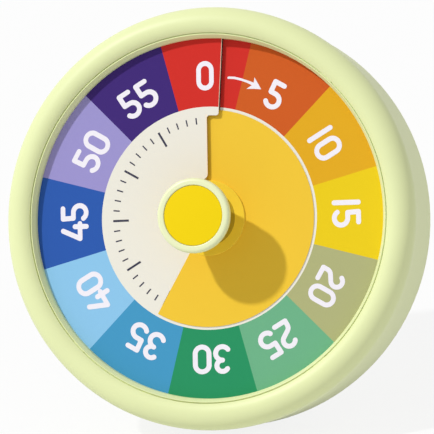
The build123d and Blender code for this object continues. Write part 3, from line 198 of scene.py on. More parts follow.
class KnobSettings(bpy.types.PropertyGroup):
    radius: length("Radius", "Rim around the cap", extent_radius("knob_rim"))
    top: length("Top", "Height of the rim", extent_top("knob_rim"))
    seat: length("Seat", "Underside of the rim", extent_bottom("knob_rim"))
    edge: length("Edge", "Rounding of the rim's upper edge", 1.5)
    foot_edge: length("Lower edge", "Rounding of the rim's lower edge", 0.8)
    mouth_edge: length("Inner edge", "Rounding of the rim beside the cap", 0.5)
    cap_radius: length("Cap radius", "Cap inside the rim", 12.64)
    cap_top: length("Cap", "Height of the cap", extent_top("knob_body"))
    grip: length("Grip", "Radius of the grip", extent_radius("knob_body"))
    grip_low: length("Grip's lower end", "Height at which the grip begins", 16.4)
    groove: length("Groove", "Lower groove above the grip's lower end", 1.5)
    groove_pitch: length("Groove pitch", "From one groove to the next", 1.9)
    groove_width: length("Groove width", "Grooves in the grip", 0.9)
    groove_depth: length("Groove depth", "Grooves in the grip", 0.7)
    groove_edge: length("Groove edge", "Rounding of the grooves' edges", 0.1)
    foot: length("Foot", "Height of the knob's underside", extent_bottom("knob_body"))
    foot_radius: length("Foot radius", "Lower end of the cone", 7.3)
    taper: length("Taper", "How much the grip narrows towards its lower end", 1.4)
    soft: length("Soft edges", "Rounding of the cap's and the cone's edges", 0.3)
    cap_room: length("Cap room", "Air between the cap and the rim", 0.1)
    lime: colour("Lime", "Colour of the rim", 233, 238, 190)
    yellow: colour("Yellow", "Colour of the cap and the grip", 241, 210, 12)


class FilmSettings(bpy.types.PropertyGroup):
    # Inside this radius the drum is painted darker: painted shade under the knob.
    collar: length("Collar", "Radius inside which the drum looks shaded", 11.8)
    yellow: colour("Yellow", "Colour of the disc", 240, 198, 56)
    hub: colour("Hub", "Colour of the drum that carries the disc", 240, 207, 58)
    # Paler than the hub: painted light that evens out the shade on the drum's edge and wall.
    wall: colour("Wall", "Colour of the drum's edge and wall", 247, 214, 70)
    # The drum's colour inside that radius: painted shade under the knob.
    shadow: colour("Shaded", "Colour of the drum under the knob", 178, 152, 36)


class StageSettings(bpy.types.PropertyGroup):
    distance: number("Distance", "Camera to the dial", 1.422, "LENGTH")
    focal: number("Focal length", "Lens of the camera", 277.58, "CAMERA")
    tilt: angle("Tilt", "Dial turned about its X axis, as seen", -2.92494)
    turn: angle("Turn", "Dial turned about its Y axis, as seen", -16.08738)
    roll: angle("Roll", "Dial turned about its Z axis, as seen", 1.01407)
    sideways: length("Sideways", "Dial right of the picture's middle", -3.338)
    upwards: length("Upwards", "Dial above the picture's middle", -0.527)
    key: number("Key", "Strength of the key light", 2.17)
    key_spread: angle("Spread", "Angular size of the key light", 2.5)
    key_from: FloatVectorProperty(name="Key from", default=(-0.48, 0.565, 0.60),
                                  description="Key light right of, above and out of the dial")
    ambient: number("Ambient", "Light from all around", 0.507)
    seed: IntProperty(name="Seed", description="Seed of everything drawn at random", default=7)
    bright_room: BoolProperty(name="Bright room", description="White seen behind the timer",
                              default=True)
    floor_reach: number("Floor reach", "Half the floor's width", 3.0, "LENGTH")
    floor_grey: number("Floor grey", "Lightness of the floor", 0.82)
    floor_glow: number("Floor glow", "Share of white over the floor, which fades shadows", 0.86)


SETTINGS = {
    "timer_case": CaseSettings,
    "timer_dial": DialSettings,
    "timer_knob": KnobSettings,
    "timer_film": FilmSettings,
    "timer_stage": StageSettings,
}


def sizes(group):
    """A settings group with its lengths in millimetres."""
    values = SimpleNamespace()
    for name, prop in group.bl_rna.properties.items():
        if prop.type == "FLOAT" and not prop.is_array:
            value = getattr(group, name)
            setattr(values, name, value / MM if prop.unit == "LENGTH" else value)
    return values


# ---- Node trees as expressions

class Signal:
    """One output of a node. Sums, products and comparisons of it add Math nodes."""

    def __init__(self, graph, socket):
        self.graph = graph
        self.socket = socket

    def __add__(self, other):
        return self.graph.math("ADD", self, other)

    def __sub__(self, other):
        return self.graph.math("SUBTRACT", self, other)

    def __rsub__(self, other):
        return self.graph.math("SUBTRACT", other, self)

    def __mul__(self, other):
        return self.graph.math("MULTIPLY", self, other)

    def __truediv__(self, other):
        return self.graph.math("DIVIDE", self, other)

    def __rtruediv__(self, other):
        return self.graph.math("DIVIDE", other, self)

    def __pow__(self, other):
        return self.graph.math("POWER", self, other)

    def __mod__(self, other):
        return self.graph.math("FLOORED_MODULO", self, other)

    def __gt__(self, other):
        return self.graph.math("GREATER_THAN", self, other)

    def __lt__(self, other):
        return self.graph.math("LESS_THAN", self, other)

    def __abs__(self):
        return self.graph.math("ABSOLUTE", self)

    __radd__ = __add__
    __rmul__ = __mul__


class Graph:
    """A node tree that grows by expressions."""

    def __init__(self, tree):
        self.tree = tree

    def node(self, kind, settings=None, values=None, output=0):
        """A node of a kind, with its settings, then the values or links of its sockets."""
        made = self.tree.nodes.new(kind)
        for name, value in (settings or {}).items():
            if name == "stops":
                self.set_stops(made.color_ramp, *value)
            else:
                setattr(made, name, value)
        for key, value in (values or {}).items():
            self.connect(made.inputs[key], value)
        return Signal(self, made.outputs[output])

    @staticmethod
    def set_stops(ramp, interpolation, colours):
        ramp.interpolation = interpolation
        while len(ramp.elements) < len(colours):
            ramp.elements.new(1.0)
        for element, (position, value) in zip(ramp.elements, colours):
            element.position, element.color = position, (*value, 1)

    def connect(self, socket, value):
        if isinstance(value, Signal):
            self.tree.links.new(value.socket, socket)
        elif socket.type == "RGBA" and len(value) == 3:
            socket.default_value = (*value, 1)
        else:
            socket.default_value = value

    def math(self, operation, *values):
        return self.node("ShaderNodeMath", {"operation": operation}, dict(enumerate(values)))

    def vector(self, x=0.0, y=0.0, z=0.0):
        return self.node("ShaderNodeCombineXYZ", {}, {0: x, 1: y, 2: z})


class Finish(Graph):
    """A material and the nodes that are added to it."""

    def __init__(self, name, **constants):
        self.material = bpy.data.materials.new(name)
        self.material.use_nodes = True
        super().__init__(self.material.node_tree)
        self.shader = next(n for n in self.tree.nodes if n.type == "BSDF_PRINCIPLED")
        self.coordinates = self.node("ShaderNodeTexCoord", output="Object")
        for socket, value in constants.items():
            self.feed(socket.replace("_", " "), value)

    def feed(self, socket, value):
        self.connect(self.shader.inputs[socket], value)

    def noise(self, scale, detail=2.0, roughness=0.5, vector=None):
        return self.node("ShaderNodeTexNoise", {},
                         {"Vector": vector or self.coordinates, "Scale": scale, "Detail": detail,
                          "Roughness": roughness})

    def mix(self, factor, a, b):
        return self.node("ShaderNodeMix", {"data_type": "RGBA"}, {0: factor, 6: a, 7: b}, 2)

    def spread(self, signal, low, high):
        """Maps 0 to 1 onto low to high."""
        return self.node("ShaderNodeMapRange", {},
                         {"Value": signal, "To Min": low, "To Max": high})

    def bump(self, height, depth):
        self.feed("Normal", self.node("ShaderNodeBump", {}, {
            "Height": height, "Distance": depth, "Strength": 1.0}))

    def cover(self, rgb, roughness, height=None, depth=0.0):
        """Sets the colour and the roughness, and where a height is given, the relief."""
        self.feed("Base Color", rgb)
        self.feed("Roughness", roughness)
        if height:
            self.bump(height, depth)

    def along(self, vector, direction):
        return self.node("ShaderNodeVectorMath", {"operation": "DOT_PRODUCT"},
                         {0: vector, 1: tuple(direction)}, "Value")

    def dial_place(self):
        """x, y and z in the dial's frame, in millimetres."""
        offset = self.node("ShaderNodeVectorMath", {"operation": "SUBTRACT"},
                           {0: self.coordinates, 1: tuple(DIAL.translation)})
        return [self.along(offset, Vector(axis) / MM) for axis in (RIGHT, UP, OUT)]

    def facing(self):
        """How squarely the surface faces out of the dial, 0 on a cut edge."""
        normal = self.node("ShaderNodeNewGeometry", output="Normal")
        return abs(self.along(normal, OUT))


def shade(rgb, factor):
    return tuple(min(1.0, v * factor) for v in rgb)


# ---- Finishes

def moulded(name, rgb, roughness, grain=5200.0, depth=0.000012, mottle=0.035, **constants):
    """Plastic with a fine spark-eroded grain and a slight unevenness of colour and gloss."""
    finish = Finish(name, **constants)
    cloud = finish.noise(38.0, 3.0)
    fine = finish.noise(grain, 2.0, 0.6)
    finish.cover(finish.mix(cloud, shade(rgb, 1 - mottle), shade(rgb, 1 + mottle)),
                 finish.spread(cloud * 0.6 + fine * 0.4, roughness - 0.06, roughness + 0.06),
                 fine, depth)
    return finish


# Clock angles at which one sector ends and the next begins, and the sectors' colours.
SECTOR_EDGES = (15.1, 45.05, 75.05, 105.1, 134.95, 164.75, 194.5, 224.7, 254.95, 285.15, 315.3,
                345.1)
SECTOR_COLOURS = ((211, 50, 43), (208, 95, 38), (228, 172, 36), (237, 206, 31), (177, 179, 127),
                  (111, 179, 138), (44, 147, 99), (71, 154, 199), (143, 200, 238), (48, 92, 176),
                  (158, 150, 209), (66, 44, 120))


def dial_print(dial):
    """The printed sheet: twelve coloured sectors, each about its numeral, and a plain centre."""
    mm = sizes(dial)
    finish = Finish("dial_print", Specular_IOR_Level=0.05)
    x, y, z = finish.dial_place()
    radius = (x * x + y * y) ** 0.5
    turn = (finish.math("ARCTAN2", x, y) * (180 / math.pi)) % 360.0
    number = sum((turn > edge for edge in SECTOR_EDGES[1:]), turn > SECTOR_EDGES[0])
    count = len(SECTOR_COLOURS)
    stops = [(i / count, screen(*rgb)) for i, rgb in enumerate(SECTOR_COLOURS)]
    wheel = finish.node("ShaderNodeValToRGB", {"stops": ("CONSTANT", stops)},
                        {0: ((number + 0.5) / count) % 1.0})
    grain = finish.noise(2600.0, 3.0, 0.65)
    printed = finish.mix(finish.spread(grain, 0.0, 0.08), wheel, (0.0, 0.0, 0.0))
    plain = finish.mix(finish.spread(grain, 0.0, 0.05), tuple(dial.centre), (0.45, 0.45, 0.42))
    face = finish.mix(radius > mm.centre_radius, plain, printed)
    # The slit's raised edge is left bare along its inner and its leaning outer part. The sheet
    # itself ends at the slit, so that the margins may reach a hair beyond it.
    margin = mm.print_margin
    inner = (x < mm.slit + 0.001) * (x > mm.slit - margin) * (
        radius < mm.jog_radius + margin * 0.8)
    beyond = x - (y - mm.jog_radius) * math.tan(mm.lean)
    outer = (beyond > mm.jog - mm.outer_margin) * (beyond < mm.jog + 0.01) * (
        radius > mm.jog_radius)
    raised = (z > mm.rise / 2) * (y > 0.0)
    # Cut faces take the dark brown edge colour: painted shade on the sheet's cut faces.
    cut = finish.facing() < 0.5
    bared = finish.mix((inner + outer) * raised, face, tuple(dial.cream))
    finish.cover(finish.mix(cut, bared, tuple(dial.edge)), finish.spread(grain, 0.42, 0.56),
                 grain, 0.000006)
    return finish


def film_sheet(film, cream):
    """The disc: a thin dyed sheet whose cut edges are paler."""
    finish = Finish("film_sheet", Specular_IOR_Level=0.12)
    cloud = finish.noise(30.0, 2.0)
    fine = finish.noise(3400.0, 2.0, 0.6)
    yellow = tuple(film.yellow)
    body = finish.mix(cloud, shade(yellow, 0.97), shade(yellow, 1.03))
    body = finish.mix(finish.spread(fine, 0.0, 0.08), body, shade(yellow, 0.6))
    finish.cover(finish.mix(finish.facing() < 0.5, body, tuple(cream)),
                 finish.spread(fine, 0.40, 0.50), fine, 0.000005)
    return finish


def drum(film):
    """The disc's drum, with painted shade under the knob and painted light on its edge and wall."""
    finish = Finish("hub_yellow", Specular_IOR_Level=0.12)
    x, y, z = finish.dial_place()
    radius = (x * x + y * y) ** 0.5
    fine = finish.noise(3400.0, 2.0, 0.6)
    # The drum's edge and wall take the paler wall colour, painted light against their shade.
    lit = finish.mix(finish.facing() < 0.9, tuple(film.hub), tuple(film.wall))
    # Inside the radius the drum takes painted shade, for the knob's shade over it.
    finish.cover(finish.mix(radius > film.collar / MM, tuple(film.shadow), lit),
                 finish.spread(fine, 0.42, 0.52), fine, 0.000005)
    return finish


def metal(name, rgb, roughness, brushed=0.0):
    finish = Finish(name, Metallic=1.0)
    x, y, z = finish.dial_place()
    streaks = finish.vector(x * 0.02, y * 0.3, z * 0.3)
    lines = finish.noise(9.0, 3.0, 0.6, streaks) if brushed else finish.noise(700.0, 3.0)
    finish.cover(finish.mix(lines, shade(rgb, 0.9), shade(rgb, 1.08)),
                 finish.spread(lines, roughness - 0.07, roughness + 0.1 + brushed))
    return finish


COIL_TURNS = 26.0           # how fast the wire's turns follow each other across the coil


def wound_copper():
    """Enamelled wire, whose turns catch the light one by one."""
    finish = metal("wound_copper", screen(196, 110, 62), 0.32)
    x, y, z = finish.dial_place()
    finish.bump(finish.math("SINE", x * COIL_TURNS), 0.00004)
    return finish


def solder_mask():
    """Board lacquer over copper tracks."""
    finish = Finish("solder_mask")
    x, y, z = finish.dial_place()
    tracks = finish.node("ShaderNodeTexBrick", {"offset": 0.37, "squash": 1.6},
                         {"Vector": finish.coordinates, "Scale": 90.0, "Mortar Size": 0.03,
                          "Mortar Smooth": 0.2, "Color1": (0, 0, 0), "Color2": (0, 0, 0),
                          "Mortar": (1, 1, 1)}, 1)
    dust = finish.noise(600.0, 2.0)
    green = finish.mix(tracks * 0.8, screen(22, 92, 52), screen(66, 138, 74))
    finish.cover(finish.mix(finish.spread(dust, 0.0, 0.15), green, screen(12, 60, 34)), 0.32,
                 tracks, 0.00003)
    return finish


BARE_TIP, BARE_FOOT, DARK_SLEEVE = 1.6, 0.6, 34.0       # along the cell, in millimetres


def cell_sleeve():
    """The cell's shrink sleeve in two plain tones, with bare steel at both ends."""
    low, high = dial_extent("battery_cell")
    finish = Finish("cell_sleeve")
    x, y, z = finish.dial_place()
    steel = finish.math("MAXIMUM", y > high[1] - BARE_TIP, y < low[1] + BARE_FOOT)
    sleeve = finish.mix(y > low[1] + DARK_SLEEVE, screen(46, 50, 58), screen(196, 132, 70))
    finish.cover(finish.mix(steel, sleeve, screen(200, 198, 192)),
                 finish.spread(finish.noise(260.0), 0.28, 0.38))
    finish.feed("Metallic", finish.spread(steel, 0.25, 1.0))
    return finish


# What is inside, as the finish's colour, roughness, then for plastic its grain and depth.
PLASTICS = {
    "inner_white": ((224, 224, 216), 0.5),
    "movement_black": ((38, 38, 42), 0.45, 3000.0, 0.00002),
    "gear_plastic": ((236, 232, 216), 0.35, 6000.0, 0.000006),
    "chip_black": ((24, 24, 26), 0.38),
    "buzzer_black": ((30, 30, 33), 0.5),
    "switch_black": ((40, 40, 43), 0.48),
    "pad_rubber": ((44, 44, 46), 0.75, 2600.0, 0.00004),
}
METALS = {
    "screw_steel": ((196, 198, 202), 0.3),
    "arbor_brass": ((206, 172, 96), 0.28),
    "spring_steel": ((180, 182, 188), 0.3, 0.1),
    "magnet": ((118, 118, 124), 0.38),
    "stator_iron": ((160, 160, 166), 0.42, 0.1),
    "crystal_can": ((210, 210, 214), 0.22),
    "contact_nickel": ((206, 203, 194), 0.24),
    "pin_steel": ((190, 192, 196), 0.3, 0.1),
}


def make_finishes(scene):
    """Every finish by the name of its slot on the timer."""
    case, dial, knob, film = (scene.timer_case, scene.timer_dial, scene.timer_knob,
                              scene.timer_film)
    ink = {"grain": 2600.0, "depth": 0.000004}
    made = {
        "case_lime": moulded("case_lime", tuple(case.lime), 0.42, Specular_IOR_Level=0.25),
        "dial_white": dial_print(dial),
        "film_yellow": film_sheet(film, dial.cream),
        "hub_yellow": drum(film),
        "knob_lime": moulded("knob_lime", tuple(knob.lime), 0.36, mottle=0.02),
        "knob_yellow": moulded("knob_yellow", tuple(knob.yellow), 0.38, mottle=0.02,
                               Specular_IOR_Level=0.1),
        "coil_copper": wound_copper(),
        "board_green": solder_mask(),
        "cell_skin": cell_sleeve(),
        "numeral_print": moulded("numeral_print", tuple(dial.numerals), 0.5, **ink),
        "tick_print": moulded("tick_print", tuple(dial.ink), 0.5, **ink),
    }
    for kind, table in ((moulded, PLASTICS), (metal, METALS)):
        for name, (rgb, *rest) in table.items():
            made[name] = kind(name, screen(*rgb), *rest)
    return {name: finish.material for name, finish in made.items()}


FINISHES = {}


def material(scene, slot):
    if not FINISHES:
        FINISHES.update(make_finishes(scene))
    return FINISHES[slot]


# ---- Meshes

SMOOTH_BELOW = math.radians(32)


def placed(name, data):
    """A new object in the scene."""
    piece = bpy.data.objects.new(name, data)
    bpy.context.scene.collection.objects.link(piece)
    return piece


def evaluated(holder):
    """The plain mesh that an object's modifiers make."""
    graph = bpy.context.evaluated_depsgraph_get()
    graph.update()
    return bpy.data.meshes.new_from_object(holder.evaluated_get(graph), depsgraph=graph)


def finish_mesh(name, mesh, body, slot, scene, finish=None, replaces=()):
    """Puts a mesh that is drawn in the dial's frame onto a body of the timer."""
    mesh.transform(DIAL)
    mesh.shade_smooth()
    mesh.set_sharp_from_angle(angle=SMOOTH_BELOW)
    mesh.materials.clear()
    mesh.materials.append(material(scene, finish or slot))
    piece = placed(name, mesh)
    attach(piece, body)
    if replaces:
        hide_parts(*replaces)


def paint_node(scene, node, slot):
    """Gives a CAD node, which keeps its own mesh, its finish."""
    piece = frame["nodes"][node]
    piece.data.materials.clear()
    piece.data.materials.append(material(scene, slot))


def mesh_from(name, points, faces, weld=1e-5):
    mesh = bpy.data.meshes.new(name)
    work = bmesh.new()
    corners = [work.verts.new(p) for p in points]
    for face in faces:
        work.faces.new([corners[i] for i in face])
    bmesh.ops.remove_doubles(work, verts=work.verts, dist=weld)
    bmesh.ops.dissolve_degenerate(work, edges=work.edges, dist=weld)
    bmesh.ops.recalc_face_normals(work, faces=work.faces)
    work.to_mesh(mesh)
    work.free()
    return mesh


def arc(x, y, radius, start, end, step=6.0):
    """Points on an arc between two directions in degrees, counter-clockwise from X."""
    count = max(2, math.ceil(abs(end - start) / step))
    turns = [math.radians(start + (end - start) * i / count) for i in range(count + 1)]
    return [(x + radius * math.cos(t), y + radius * math.sin(t)) for t in turns]


def swept_ring(name, profile, stations):
    """A closed ring: profile(station) gives the (radius, height) outline at a clock angle."""
    points, faces = [], []
    for station in stations:
        turn = math.radians(station)
        outline = profile(station)
        points += [(r * math.sin(turn), r * math.cos(turn), z) for r, z in outline]
    width = len(outline)
    for i in range(len(stations)):
        here, there = i * width, (i + 1) % len(stations) * width
        for j in range(width):
            k = (j + 1) % width
            faces.append((here + j, here + k, there + k, there + j))
    return mesh_from(name, points, faces)


def prism(name, outline, low, high):
    """A closed outline of (x, y) points, given counter-clockwise, between two heights."""
    count = len(outline)
    points = [(x, y, z) for z in (low, high) for x, y in outline]
    faces = [list(range(count - 1, -1, -1)), list(range(count, 2 * count))]
    faces += [[i, (i + 1) % count, (i + 1) % count + count, i + count] for i in range(count)]
    return mesh_from(name, points, faces)


def lathe(name, outline, segments):
    """A closed (radius, height) outline turned about the dial's axis."""
    stations = [360 * i / segments for i in range(segments)]
    return swept_ring(name, lambda station: outline, stations)


def joined(name, meshes):
    work = bmesh.new()
    for mesh in meshes:
        work.from_mesh(mesh)
    result = bpy.data.meshes.new(name)
    work.to_mesh(result)
    work.free()
    return result


def moved(mesh, x, y, z=0.0, turn=0.0):
    mesh.transform(Matrix.Translation((x, y, z)) @ Matrix.Rotation(turn, 4, "Z"))
    return mesh


def clock_point(radius, degrees):
    turn = math.radians(degrees)
    return radius * math.sin(turn), radius * math.cos(turn)


# ---- Case

CASE_SCREWS_AT = (45, 135, 225, 315)        # clock angles
CARRIER_SCREWS_AT = (20, 110, 200, 290)
TABS_AT = (43, 142, 227, 319)
SEAM_ROOM = 0.45            # degrees of air where the ring's underside steps down
SEAT_GAP = 0.03             # air between the sheet and the ring, in millimetres
BRIM_GAP = 0.02             # air between the groove's floor and the bezel
TAB_ROOM = 0.05             # air between a latch and the bezel
SLIVER = 0.02               # least height of the ring's inner wall


class TIMER_OT_case(bpy.types.Operator):
    """Builds the front bezel and the retaining ring, and finishes the rear case"""
    bl_idname = "timer.case"
    bl_label = "Case"

    def execute(self, context):
        scene = context.scene
        mm = sizes(scene.timer_case)
        dial = sizes(scene.timer_dial)
        finish_mesh("front_bezel_skin", self.bezel(mm), "case", "case_lime", scene,
                    replaces=["front_bezel"])
        finish_mesh("dial_ring", self.ring(mm, dial), "case", "case_lime", scene,
                    replaces=["retaining_ring"])
        paint_node(scene, "rear_case", "case_lime")
        return {"FINISHED"}

    @staticmethod
    def bezel(mm):
        reach = mm.crest_radius - mm.inner_radius
        drop = mm.crest - mm.inner_height
        inner_arc = (reach ** 2 + drop ** 2) / (2 * drop)
        half = math.degrees(math.asin(reach / inner_arc))
        outer_arc = mm.radius - mm.crest_radius
        soft, wall = mm.soft, mm.radius - mm.wall
        outline = arc(mm.crest_radius, mm.crest - inner_arc, inner_arc, 90 + half, 90, 2.0)
        outline += arc(mm.crest_radius, mm.crest - outer_arc, outer_arc, 90, 0, 3.0)[1:]
        outline += arc(mm.radius - soft, mm.parting + soft, soft, 0, -90, 30.0)
        outline += [(wall, mm.parting), (wall, mm.under), (mm.inner_radius, mm.under)]
        ring = lathe("front_bezel_skin", outline, 360)
        bosses = []
        for turn in CASE_SCREWS_AT:
            post = [(SCREW_R, mm.under), (mm.boss_radius, mm.under),
                    (mm.boss_radius, mm.boss_end), (SCREW_R, mm.boss_end)]
            bosses.append(moved(lathe("boss", post, 24), *clock_point(mm.boss_circle, turn)))
        return joined("front_bezel_skin", [ring, *bosses])

    @staticmethod
    def ring(mm, dial):
        """The ring that holds the sheet. Its underside climbs with the sheet."""
        seam = math.degrees(math.asin(slit_x(dial, dial.radius) / dial.radius))
        outer, inner, top, edge = (mm.ring_outer, mm.ring_inner, mm.ring_top,
                                   mm.ring_edge)
        foot, lip, lean = mm.ring_foot, mm.ring_lip, mm.ring_lean
        brim, floor = mm.inner_radius - BRIM_GAP, top - mm.groove
        below = floor - mm.groove_floor
        # The wall turns into the cone over a small rounding, drawn as three corners.
        crown = [(inner + lean * 0.9, lip - (lip - foot) * 0.1), (inner + lean * 1.02, lip)]
        crown += [(inner + lean + (outer - edge - inner - lean) * 0.1, lip + (top - lip) * 0.11)]
        crown += arc(outer - edge, top - edge, edge, 125, 0, 15.0)
        crown += [(outer, floor), (brim, floor), (brim, below), (outer, below)]

        def wall(height):
            return inner + lean * max(0.0, height - foot) / (lip - foot), height

        def profile(turn):
            low = dial.rise * turn / 360 + SEAT_GAP
            return [*crown, (outer, low), wall(low), wall(max(foot, low + SLIVER))]

        stations = [seam + SEAM_ROOM + i for i in range(361)]
        pieces = [swept_ring("dial_ring", profile, stations)]
        half, reach = mm.tab_width / 2, mm.inner_radius - TAB_ROOM
        for turn in TABS_AT:
            tab = prism("tab", [(-half, outer - edge), (half, outer - edge), (half, reach),
                                (-half, reach)], top - edge - mm.tab_thick, top - edge)
            pieces.append(moved(tab, 0, 0, 0, -math.radians(turn)))
        return joined("dial_ring", pieces)


# ---- Numerals, drawn as strokes about each glyph's middle and then scaled to their height

GLYPH_HALF = 5.15           # half height of the stroke's centreline
GLYPHS = {
    "0": [arc(0, 2.3, 2.85, 0, 180) + arc(0, -2.3, 2.85, 180, 360) + [(2.85, 2.3)]],
    "1": [[(0, GLYPH_HALF), (0, -GLYPH_HALF)]],
    "2": [arc(0, 2.65, 2.5, 150, -58.7) + arc(0.05, -3.2, 2.5, 121.3, 180)
          + [(-2.45, -GLYPH_HALF), (2.6, -GLYPH_HALF)]],
    "3": [arc(0, 2.8, 2.35, 148.7, -90), arc(0, -2.35, 2.8, 90, -144)],
    "4": [[(0.2, GLYPH_HALF), (-3.0, -2.3), (3.1, -2.3)], [(1.9, -0.1), (1.9, -GLYPH_HALF)]],
    "5": [[(1.75, GLYPH_HALF), (-2.45, GLYPH_HALF), (-2.2, 0.55), (0, 0.55)]
          + arc(0, -2.3, 2.85, 90, -147)],
}
GLYPH_GAP = 0.7             # air between two digits
GLYPH_GAPS = {"1": 1.8, "4": 0.0}
# Each numeral's shift across and outwards in millimetres, and its stretch across.
NUMERALS = {0: (-0.21, 0.22, 0.978), 5: (0.56, -1.08, 1.028), 10: (0.23, -0.78, 1.028),
            15: (0.01, -0.24, 1.018), 20: (1.09, -0.92, 0.991), 25: (0.72, -0.36, 1.028),
            30: (-0.33, -0.51, 1.049), 35: (-0.65, -1.3, 1.058), 40: (-0.7, -0.89, 1.058),
            45: (0.09, -0.71, 1.034), 50: (0.62, -0.84, 1.046), 55: (0.0, -0.48, 1.053)}


def stroke_distance(strokes, grid_x, grid_y):
    """Distance from each grid point to the nearest point of the strokes."""
    nearest = np.full(grid_x.shape, 1e9)
    for stroke in strokes:
        for (ax, ay), (bx, by) in zip(stroke, stroke[1:]):
            dx, dy = bx - ax, by - ay
            span = max(dx * dx + dy * dy, 1e-12)
            share = np.clip(((grid_x - ax) * dx + (grid_y - ay) * dy) / span, 0, 1)
            gap = np.hypot(grid_x - ax - share * dx, grid_y - ay - share * dy)
            nearest = np.minimum(nearest, gap)
    return nearest


def stroke_outline(strokes, width, cell=0.2):
    """Edges, as pairs of points, around strokes of a width with round ends and corners."""
    every = [p for stroke in strokes for p in stroke]
    low = [min(p[i] for p in every) - width for i in (0, 1)]
    high = [max(p[i] for p in every) + width for i in (0, 1)]
    xs = np.arange(low[0], high[0] + cell, cell)
    ys = np.arange(low[1], high[1] + cell, cell)
    grid_x, grid_y = np.meshgrid(xs, ys)
    gap = stroke_distance(strokes, grid_x, grid_y) - width / 2
    points, edges = {}, []

    def crossing(a, b):
        key = (min(a, b), max(a, b))
        if key not in points:
            (i, j), (k, m) = key
            share = gap[i, j] / (gap[i, j] - gap[k, m])
            points[key] = (len(points), xs[j] + (xs[m] - xs[j]) * share,
                           ys[i] + (ys[k] - ys[i]) * share)
        return points[key][0]

    for i in range(len(ys) - 1):
        for j in range(len(xs) - 1):
            corners = [(i, j), (i, j + 1), (i + 1, j + 1), (i + 1, j)]
            cut = [(a, b) for a, b in zip(corners, corners[1:] + corners[:1])
                   if (gap[a] < 0) != (gap[b] < 0)]
            ends = [crossing(a, b) for a, b in cut]
            edges += list(zip(ends[0::2], ends[1::2]))
    return [(x, y) for _, x, y in sorted(points.values())], edges


def filled(points, edges, weld=0.004):
    """Triangles that fill the outline, with its holes left open."""
    work = bmesh.new()
    corners = [work.verts.new((x, y, 0)) for x, y in points]
    for a, b in edges:
        if a != b:
            work.edges.new((corners[a], corners[b]))
    bmesh.ops.remove_doubles(work, verts=work.verts, dist=weld)
    bmesh.ops.triangle_fill(work, use_beauty=True, use_dissolve=False, edges=work.edges)
    work.verts.index_update()
    flat = [tuple(v.co.xy) for v in work.verts]
    faces = []
    for face in work.faces:
        if face.normal.z < 0:
            face.normal_flip()
        faces.append([v.index for v in face.verts])
    work.free()
    return flat, faces


def printed_slab(name, flat, faces, dial):
    """A thin closed slab on the dial's face, over flat triangles."""
    count = len(flat)
    points = [(x, y, dial_height(dial, x, y) + lift)
              for lift in (dial.print_height, -dial.print_sink) for x, y in flat]
    sides = {}
    for face in faces:
        for a, b in zip(face, face[1:] + face[:1]):
            if not sides.pop((b, a), False):
                sides[(a, b)] = True
    every = faces + [[i + count for i in reversed(f)] for f in faces]
    every += [[b, a, a + count, b + count] for a, b in sides]
    return mesh_from(name, points, every)


def glyph_extent(glyph, stroke):
    xs = [p[0] for line in GLYPHS[glyph] for p in line]
    return min(xs) - stroke / 2, max(xs) + stroke / 2


def numeral_layout(text, stroke):
    """Each digit of a numeral with its sideways offset, the whole centred."""
    placed, cursor = [], 0.0
    for i, glyph in enumerate(text):
        low, high = glyph_extent(glyph, stroke)
        placed.append((glyph, cursor - low))
        gap = GLYPH_GAPS.get(glyph, GLYPH_GAP) if i + 1 < len(text) else 0.0
        cursor += high - low + gap
    return [(glyph, offset - cursor / 2) for glyph, offset in placed]


def slit_x(dial, y):
    """Where the outer slit is beside the axis, at a height up the dial."""
    return dial.jog + (y - dial.jog_radius) * math.tan(dial.lean)


def dial_height(dial, x, y):
    """Height of the dial's face. Right of twelve, up to the slit, it is still high."""
    turn = math.degrees(math.atan2(x, y)) % 360
    outside = math.hypot(x, y) > dial.jog_radius
    raised = y > 0 and 0 <= x < (slit_x(dial, y) if outside else dial.slit)
    return dial.rise * (turn + (360 if raised else 0)) / 360


# The arrow's shaft as (radius, clock angle) along its middle, and its head as (x, y).
ARROW_SHAFT = ((60.3, 9.0), (60.6, 11.6), (60.5, 14.4), (60.25, 17.1), (59.9, 19.5))
ARROW_HEAD = ((20.75, 56.95), (21.1, 59.2), (22.6, 56.5), (24.0, 53.95), (20.8, 54.3),
              (17.5, 54.45), (19.85, 55.9))
ARROW_HALF = 0.5            # half the width of the shaft
ARROW_NOSE = 0.3            # degrees by which the shaft's blunt end stands out


def arrow_outline():
    """A curved shaft and an arrow head with a notched back."""
    over = [clock_point(r + ARROW_HALF, a) for r, a in ARROW_SHAFT[:-1]]
    under = [clock_point(r - ARROW_HALF, a) for r, a in ARROW_SHAFT[:-1]]
    blunt = clock_point(ARROW_SHAFT[0][0], ARROW_SHAFT[0][1] - ARROW_NOSE)
    return [blunt, *over, *ARROW_HEAD, *under[::-1]]


